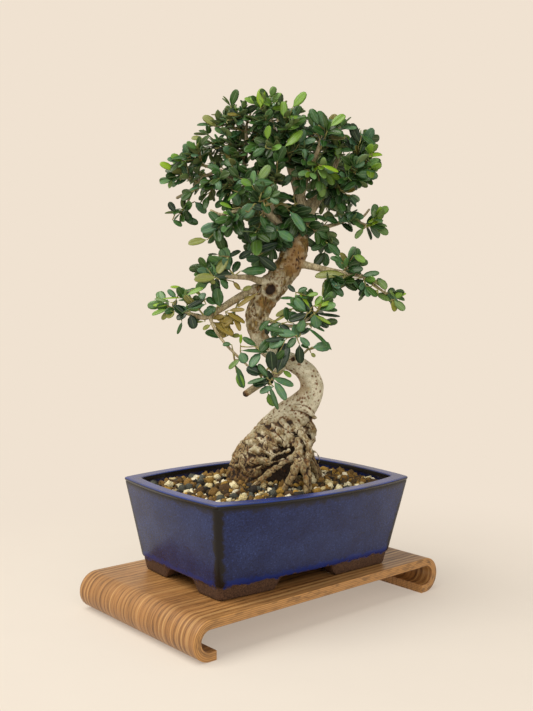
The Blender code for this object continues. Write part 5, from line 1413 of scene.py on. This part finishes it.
def crownShade(foot):
    # 1 in the crown's shaded heart and 0 from its shell outwards, by an ellipsoid about its centre: how far a
    # leaf there is painted darker as shade
    axes = np.array([acrossAxis, upAxis, towardsAxis])
    apart = axes @ (foot - crownCentre) / crownReach
    return 1 - smoothStep(np.linalg.norm(apart), 0.35, 0.85)


def facing(foot, chance):
    # a blade turns to the light: up, out of the crown, and at the front towards the window
    front = smoothStep(foot.dot(towardsAxis), -20 * mm, 5 * mm)
    outward = unit(foot - crownCentre)
    return 0.45 * outward + 0.4 * upAxis + 0.7 * front * towardsAxis + chance.normal(0, 0.3, 3)


def pairedLeaves(path, pairs, leafLength, youth, chance, size=1.0):
    # opposite pairs along a twig, each turned from the last, and one small leaf at its end
    leaves, first = [], leafLooks["firstPair"]
    along = unit(np.gradient(path, axis=0))
    total = len(path) - 1
    side = unit(np.cross(along[0], facing(path[0], chance)))
    for k in range(pairs):
        share = first + (leafLooks["lastPair"] - first) * k / max(pairs - 1, 1)
        spot = share * total
        low = min(int(spot), total - 1)
        foot = path[low] + (path[low + 1] - path[low]) * (spot - low)
        heading = along[low]
        crosswise = unit(side - heading * side.dot(heading))
        turn = math.radians(leafLooks["quarter"] * (k % 2) + chance.normal(0, 18))
        out = crosswise * math.cos(turn) + np.cross(heading, crosswise) * math.sin(turn)
        spread = math.radians(leafLooks["spread"] - 18 * share + chance.normal(0, 9))
        for sign in (-1, 1):
            ahead = heading * math.cos(spread) + sign * out * math.sin(spread)
            ahead = unit(ahead + chance.normal(0, 0.12, 3))
            length = leafLength * size * leafLooks["pairScale"] * chance.uniform(0.7, 1.15)
            tone = toneOf(youth * share**2, crownShade(foot), chance)
            leaves.append((foot, ahead, facing(foot, chance), length, tone))
    end = leafLength * size * leafLooks["pairScale"] * chance.uniform(0.6, 0.9)
    tone = toneOf(youth, crownShade(path[-1]), chance)
    ahead = unit(along[-1] + chance.normal(0, 0.15, 3))
    leaves.append((path[-1], ahead, facing(path[-1], chance), end, tone))
    return leaves


def toneOf(youth, depth, chance):
    # mostly mid and dark greens, painted darker inside the crown as shade; youth turns a leaf yellow-green, a
    # few are old
    bright = np.clip(0.88 * chance.beta(1.4, 1.9) + 0.4 * youth, 0, 1) * (1 - 0.65 * depth)
    old = leafLooks["old"] if chance.random() < leafLooks["oldShare"] else 0.0
    return (bright, np.clip(0.85 * youth * chance.uniform(0.5, 1.1), 0, 1), old)


def slimmed(length):
    # a leaf's usual width in mm: longer leaves are slimmer in proportion
    return length * leafLooks["widthRatio"] * (leafLooks["usualLength"] / length) ** leafLooks["slimming"]


def grownTwigs(rows, chance):
    # each row's twig with its pairs of leaves, and its side twigs with theirs
    twigs, leaves = [], []
    for foot, tip, pairs, leafLength, sideTwigs, youth in rows:
        foot, tip, leafLength = treePlace(foot), treePlace(tip), leafLength * mm
        reach = np.linalg.norm(tip - foot)
        end = tip - unit(tip - foot) * min(0.5 * leafLength, 0.35 * reach)
        path = twigPath(foot, end, chance.uniform(-0.05, 0.12))
        twigs.append((path, leafLooks["twigRadius"] * np.linspace(1.1, 0.6, len(path)) * mm))
        leaves += pairedLeaves(path, pairs, leafLength, youth, chance)
        for k in range(sideTwigs):
            start = path[int(len(path) * (0.25 + 0.5 * (k + 0.5) / sideTwigs))]
            heading = unit(end - foot)
            swing = unit(np.cross(heading, chance.normal(0, 1, 3) + 0.3 * towardsAxis))
            aim = unit(heading * 0.8 + swing + 0.15 * upAxis)
            length = reach * leafLooks["sideTwig"] * chance.uniform(0.8, 1.2)
            branch = twigPath(start, start + aim * length, 0.05, 6)
            twigs.append((branch, leafLooks["twigRadius"] * np.linspace(0.75, 0.45, len(branch)) * mm))
            leaves += pairedLeaves(branch, leafLooks["sidePairs"], leafLength, youth, chance, 0.9)
    return twigs, leaves


def placedLeaf(row, twigs, chance):
    # a leaf with a place of its own, its width, and a thin stalk to the nearest twig where it stands off
    across, height, towards, angle, length, tone, *width = row
    foot, slope = treePlace((across, height, towards)), math.radians(angle)
    flat = acrossAxis * math.cos(slope) + upAxis * math.sin(slope)
    ahead = unit(flat + towardsAxis * chance.uniform(-0.1, 0.25))
    face = 0.75 * towardsAxis + 0.5 * upAxis + chance.normal(0, 0.22, 3)
    places = np.vstack([path for path, _ in twigs])
    nearest = places[np.argmin(np.linalg.norm(places - foot, axis=1))]
    if np.linalg.norm(nearest - foot) > 0.3 * mm:
        twigs.append((twigPath(nearest, foot, 0.08, 6), np.linspace(*leafLooks["stalkRadius"], 6) * mm))
    breadth = width[0] * leafLooks["ownWiden"] if width else slimmed(length)
    return (foot, ahead, face, length * mm * leafLooks["ownLengthen"], tones[tone]), breadth * mm


def buildSpray(name, rows, placed, leafFinish, twigFinish, chance):
    # the twigs of one spray with all their leaves, and the leaves that have a place of their own
    twigs, leaves = grownTwigs(rows, chance)
    widths = [slimmed(leaf[3] / mm) * mm * chance.uniform(0.85, 1.15) for leaf in leaves]
    for row in placed:
        leaf, width = placedLeaf(row, twigs, chance)
        leaves.append(leaf)
        widths.append(width)
    blades, marks = leafShapes(leaves, widths, chance)
    stems = joined([sweptTube(path, radii, 6) for path, radii in twigs])
    for mark, values in marks.items():
        marks[mark] = np.concatenate([values, np.zeros((len(stems[0]), *values.shape[1:]))])
    faceFinish = np.repeat([0, 1], [len(blades[2]), len(stems[2])])
    mesh = meshFrom("leaves_" + name, *joined([blades, stems]))
    makePiece(mesh.name, mesh, [leafFinish, twigFinish], ["spray_" + name], marks, faceFinish)
    return len(leaves)


def buildSprays():
    # every spray with its twig, its leaf pairs and its further twigs, each with random draws of its own
    leafFinish, twigFinish = oliveLeaf(), greenTwig()
    total = 0
    for k, (name, foot, tip, pairs, leafLength) in enumerate(sprays):
        few = name.startswith(bareSprays + sparseSprays)
        sideTwigs = 0 if few else 1 if name.startswith(lightSprays) else 3
        pairs = 0 if name.startswith(bareSprays) else 3 if name.startswith(sparseSprays) else pairs
        youth = leafLooks["youngYouth"] if name in youngSprays else leafLooks["youth"]
        rows = [(foot, tip, pairs, leafLength, sideTwigs, youth)]
        rows += [(*row, 2, leafLooks["innerYouth"]) for spray, *row in extraTwigs if spray == name]
        chance = np.random.default_rng(leafLooks["seed"] * 1000 + k)
        total += buildSpray(name, rows, ownLeaves.get(name, []), leafFinish, twigFinish, chance)
    print("leaves:", total)


# Drainage screens and their wires stay as the frame has them, with finishes of their own.

small = {
    "plasticDark": "#141414", "plasticPale": "#2A2A2A", "plasticGrain": 0.667,
    "wireBrown": "#6E5138", "wirePale": "#9A7A58", "wireStreak": 0.833,
}


def meshPlastic():
    # moulded polyethylene mesh: waxy black with a fine matt grain
    made, tree, shader = newMaterial("meshPlastic")
    place = addNode(tree, "TexCoord", {}, out="Object")
    grainScale = perMetre(small["plasticGrain"])
    grain = addNode(tree, "TexNoise", {"Vector": place, "Scale": grainScale, "Detail": 2.0})
    colour = addNode(tree, "ValToRGB", {"Fac": grain}, stops=[
        (0.3, small["plasticDark"]), (0.7, small["plasticPale"])])
    bump = addNode(tree, "Bump", {"Height": grain, "Strength": 0.3, "Distance": 0.0001}, out="Normal")
    setSockets(tree, shader, {"Base Color": colour, "Roughness": 0.6, "Normal": bump})
    return made


def anodisedWire():
    # annealed aluminium wire, anodised brown: a soft metallic sheen with drawn streaks
    made, tree, shader = newMaterial("anodisedWire")
    place = addNode(tree, "TexCoord", {}, out="Object")
    streakScale = perMetre(small["wireStreak"])
    streaks = addNode(tree, "TexNoise", {"Vector": place, "Scale": streakScale, "Detail": 2.0})
    colour = addNode(tree, "ValToRGB", {"Fac": streaks}, stops=[
        (0.35, small["wireBrown"]), (0.65, small["wirePale"])])
    rough = addNode(tree, "MapRange", {0: streaks, 1: 0.3, 2: 0.7, 3: 0.32, 4: 0.5})
    setSockets(tree, shader, {"Base Color": colour, "Roughness": rough, "Metallic": 1.0})
    return made


def finishFrameNodes():
    plastic, wire = meshPlastic(), anodisedWire()
    for side in ("left", "right"):
        giveFinish("drainage_screen_" + side, plastic)
        giveFinish("screen_wire_" + side, wire)
    print("frame nodes finished")


# Stage: a seamless warm floor that curves up into the backdrop, one large soft light and a fill.

stage = {
    "flat": 900, "curve": 900, "wall": 1500, "sides": 96, "floor": "#D8D2C8", "wallColour": "#F0E2D1",
    "glow": 1.0, "leastGlow": 0.38, "glowReach": (0.12, 0.42), "fibreSize": 40,
    "sky": "#FFF8EE", "skyStrength": 0.25, "aimHeight": 180,
    "lamps": {  # place as seen from the tree's front, size in metres, watts and colour
        "keyLight": ((-750, 1500, 450), 1.4, 31.0, "#FFFAF2"),
        "fillLight": ((300, 700, 1100), 0.9, 4.0, "#F4F6FF"),
    },
}


def seamlessPaper():
    # matt background paper: faint fibre mottling, evenly lit far from the object
    made, tree, shader = newMaterial("seamlessPaper")
    place = addNode(tree, "TexCoord", {}, out="Object")
    fibreScale = perMetre(stage["fibreSize"])
    fibres = addNode(tree, "TexNoise", {"Vector": place, "Scale": fibreScale, "Detail": 4.0})
    shade = addNode(tree, "MapRange", {0: fibres, 1: 0.3, 2: 0.7, 3: 0.99, 4: 1.01})
    colour = addNode(tree, "Mix", {0: 1.0, 6: stage["floor"], 7: shade}, **tinted)
    setSockets(tree, shader, {"Base Color": colour, "Roughness": 0.95})
    glow = addNode(tree, "Emission", {"Color": stage["wallColour"], "Strength": stage["glow"]})
    distance = addNode(tree, "VectorMath", {0: place}, out="Value", operation="LENGTH")
    nearest, farthest = stage["glowReach"]
    far = addNode(tree, "MapRange", {0: distance, 1: nearest, 2: farthest, 3: stage["leastGlow"], 4: 1.0},
                  interpolation_type="SMOOTHSTEP")
    mixed = addNode(tree, "MixShader", {0: far, 1: shader.outputs[0], 2: glow})
    tree.links.new(mixed, tree.nodes["Material Output"].inputs["Surface"])
    return made


def buildPaper():
    # a turned profile: flat out to a radius, a quarter circle up, then straight up
    flat = np.stack([np.linspace(0, stage["flat"], 30)[1:], np.zeros(29)], -1)
    turn = np.radians(np.linspace(0, 90, 30))[1:]
    radius = stage["curve"]
    curve = np.stack([stage["flat"] + radius * np.sin(turn), radius * (1 - np.cos(turn))], -1)
    wall = np.stack([np.full(4, curve[-1, 0]), np.linspace(curve[-1, 1], stage["wall"], 5)[1:]], -1)
    profile = np.vstack([flat, curve, wall])
    sides = stage["sides"]
    angle = 2 * math.pi * np.arange(sides) / sides
    rings = np.stack([profile[:, :1] * np.cos(angle), profile[:, :1] * np.sin(angle),
                      np.broadcast_to(profile[:, 1:], (len(profile), sides))], -1)
    points = np.vstack([[[0, 0, 0]], rings.reshape(-1, 3)]) * mm
    ring = 1 + np.arange(len(profile))[:, None] * sides + np.arange(sides)
    after = np.roll(ring, -1, axis=1)
    quads = np.stack([ring[:-1], ring[1:], after[1:], after[:-1]], -1).reshape(-1, 4)
    fan = np.stack([np.zeros(sides, int), ring[0], after[0]], -1)
    corners = np.concatenate([fan.ravel(), quads.ravel()])
    mesh = meshFrom("paper", points, corners, np.repeat([3, 4], [sides, len(quads)]))
    mesh.materials.append(seamlessPaper())
    mesh.shade_smooth()
    linkedObject("paper", mesh)


def buildStage():
    # the paper, two large soft lamps aimed at the tree's middle, and a faint even sky
    buildPaper()
    aim = Vector((0, 0, stage["aimHeight"] * mm))
    for name, (place, size, power, tint) in stage["lamps"].items():
        lamp = bpy.data.lights.new(name, "AREA")
        lamp.energy, lamp.size, lamp.color = power, size, linearColour(tint)[:3]
        spot = Vector(treePlace(place))
        turned = (spot - aim).to_track_quat("Z", "Y").to_matrix().to_4x4()
        linkedObject(name, lamp).matrix_world = Matrix.Translation(spot) @ turned
    world = bpy.data.worlds.new("studio")
    world.use_nodes = True
    background = world.node_tree.nodes["Background"]
    background.inputs["Color"].default_value = linearColour(stage["sky"])
    background.inputs["Strength"].default_value = stage["skyStrength"]
    bpy.context.scene.world = world
    print("stage set")


# Camera: the photograph's view. Its place is in world millimetres, its lens and sensor height likewise.

view = {
    "place": (-425.06, -468.12, 211.21), "azimuth": -42.04, "down": 3.242, "roll": 0.894,
    "lens": 30.13, "sensor": 24.0, "nearest": 0.01, "farthest": 20.0,
}


def buildCamera():
    # the camera's axes: back from its azimuth and tilt, right level, up square to both, then rolled a little
    azimuth, down, roll = (math.radians(view[key]) for key in ("azimuth", "down", "roll"))
    back = Vector((math.sin(azimuth) * math.cos(down), -math.cos(azimuth) * math.cos(down), math.sin(down)))
    right = Vector((math.cos(azimuth), math.sin(azimuth), 0))
    up = back.cross(right)
    rolledRight = right * math.cos(roll) + up * math.sin(roll)
    rolledUp = up * math.cos(roll) - right * math.sin(roll)
    turned = Matrix((rolledRight, rolledUp, back)).transposed().to_4x4()
    lens = bpy.data.cameras.new("photoCamera")
    lens.sensor_fit, lens.sensor_height, lens.lens = "VERTICAL", view["sensor"], view["lens"]
    lens.clip_start, lens.clip_end = view["nearest"], view["farthest"]
    camera = linkedObject("photoCamera", lens)
    camera.matrix_world = Matrix.Translation(Vector(view["place"]) * mm) @ turned
    bpy.context.scene.camera = camera


bpy.context.scene.view_settings.view_transform = "Standard"
buildCamera()
buildStage()
buildStand()
buildPot()
finishFrameNodes()
treeSurface = buildTree()
buildSoil(treeSurface)
buildSprays()
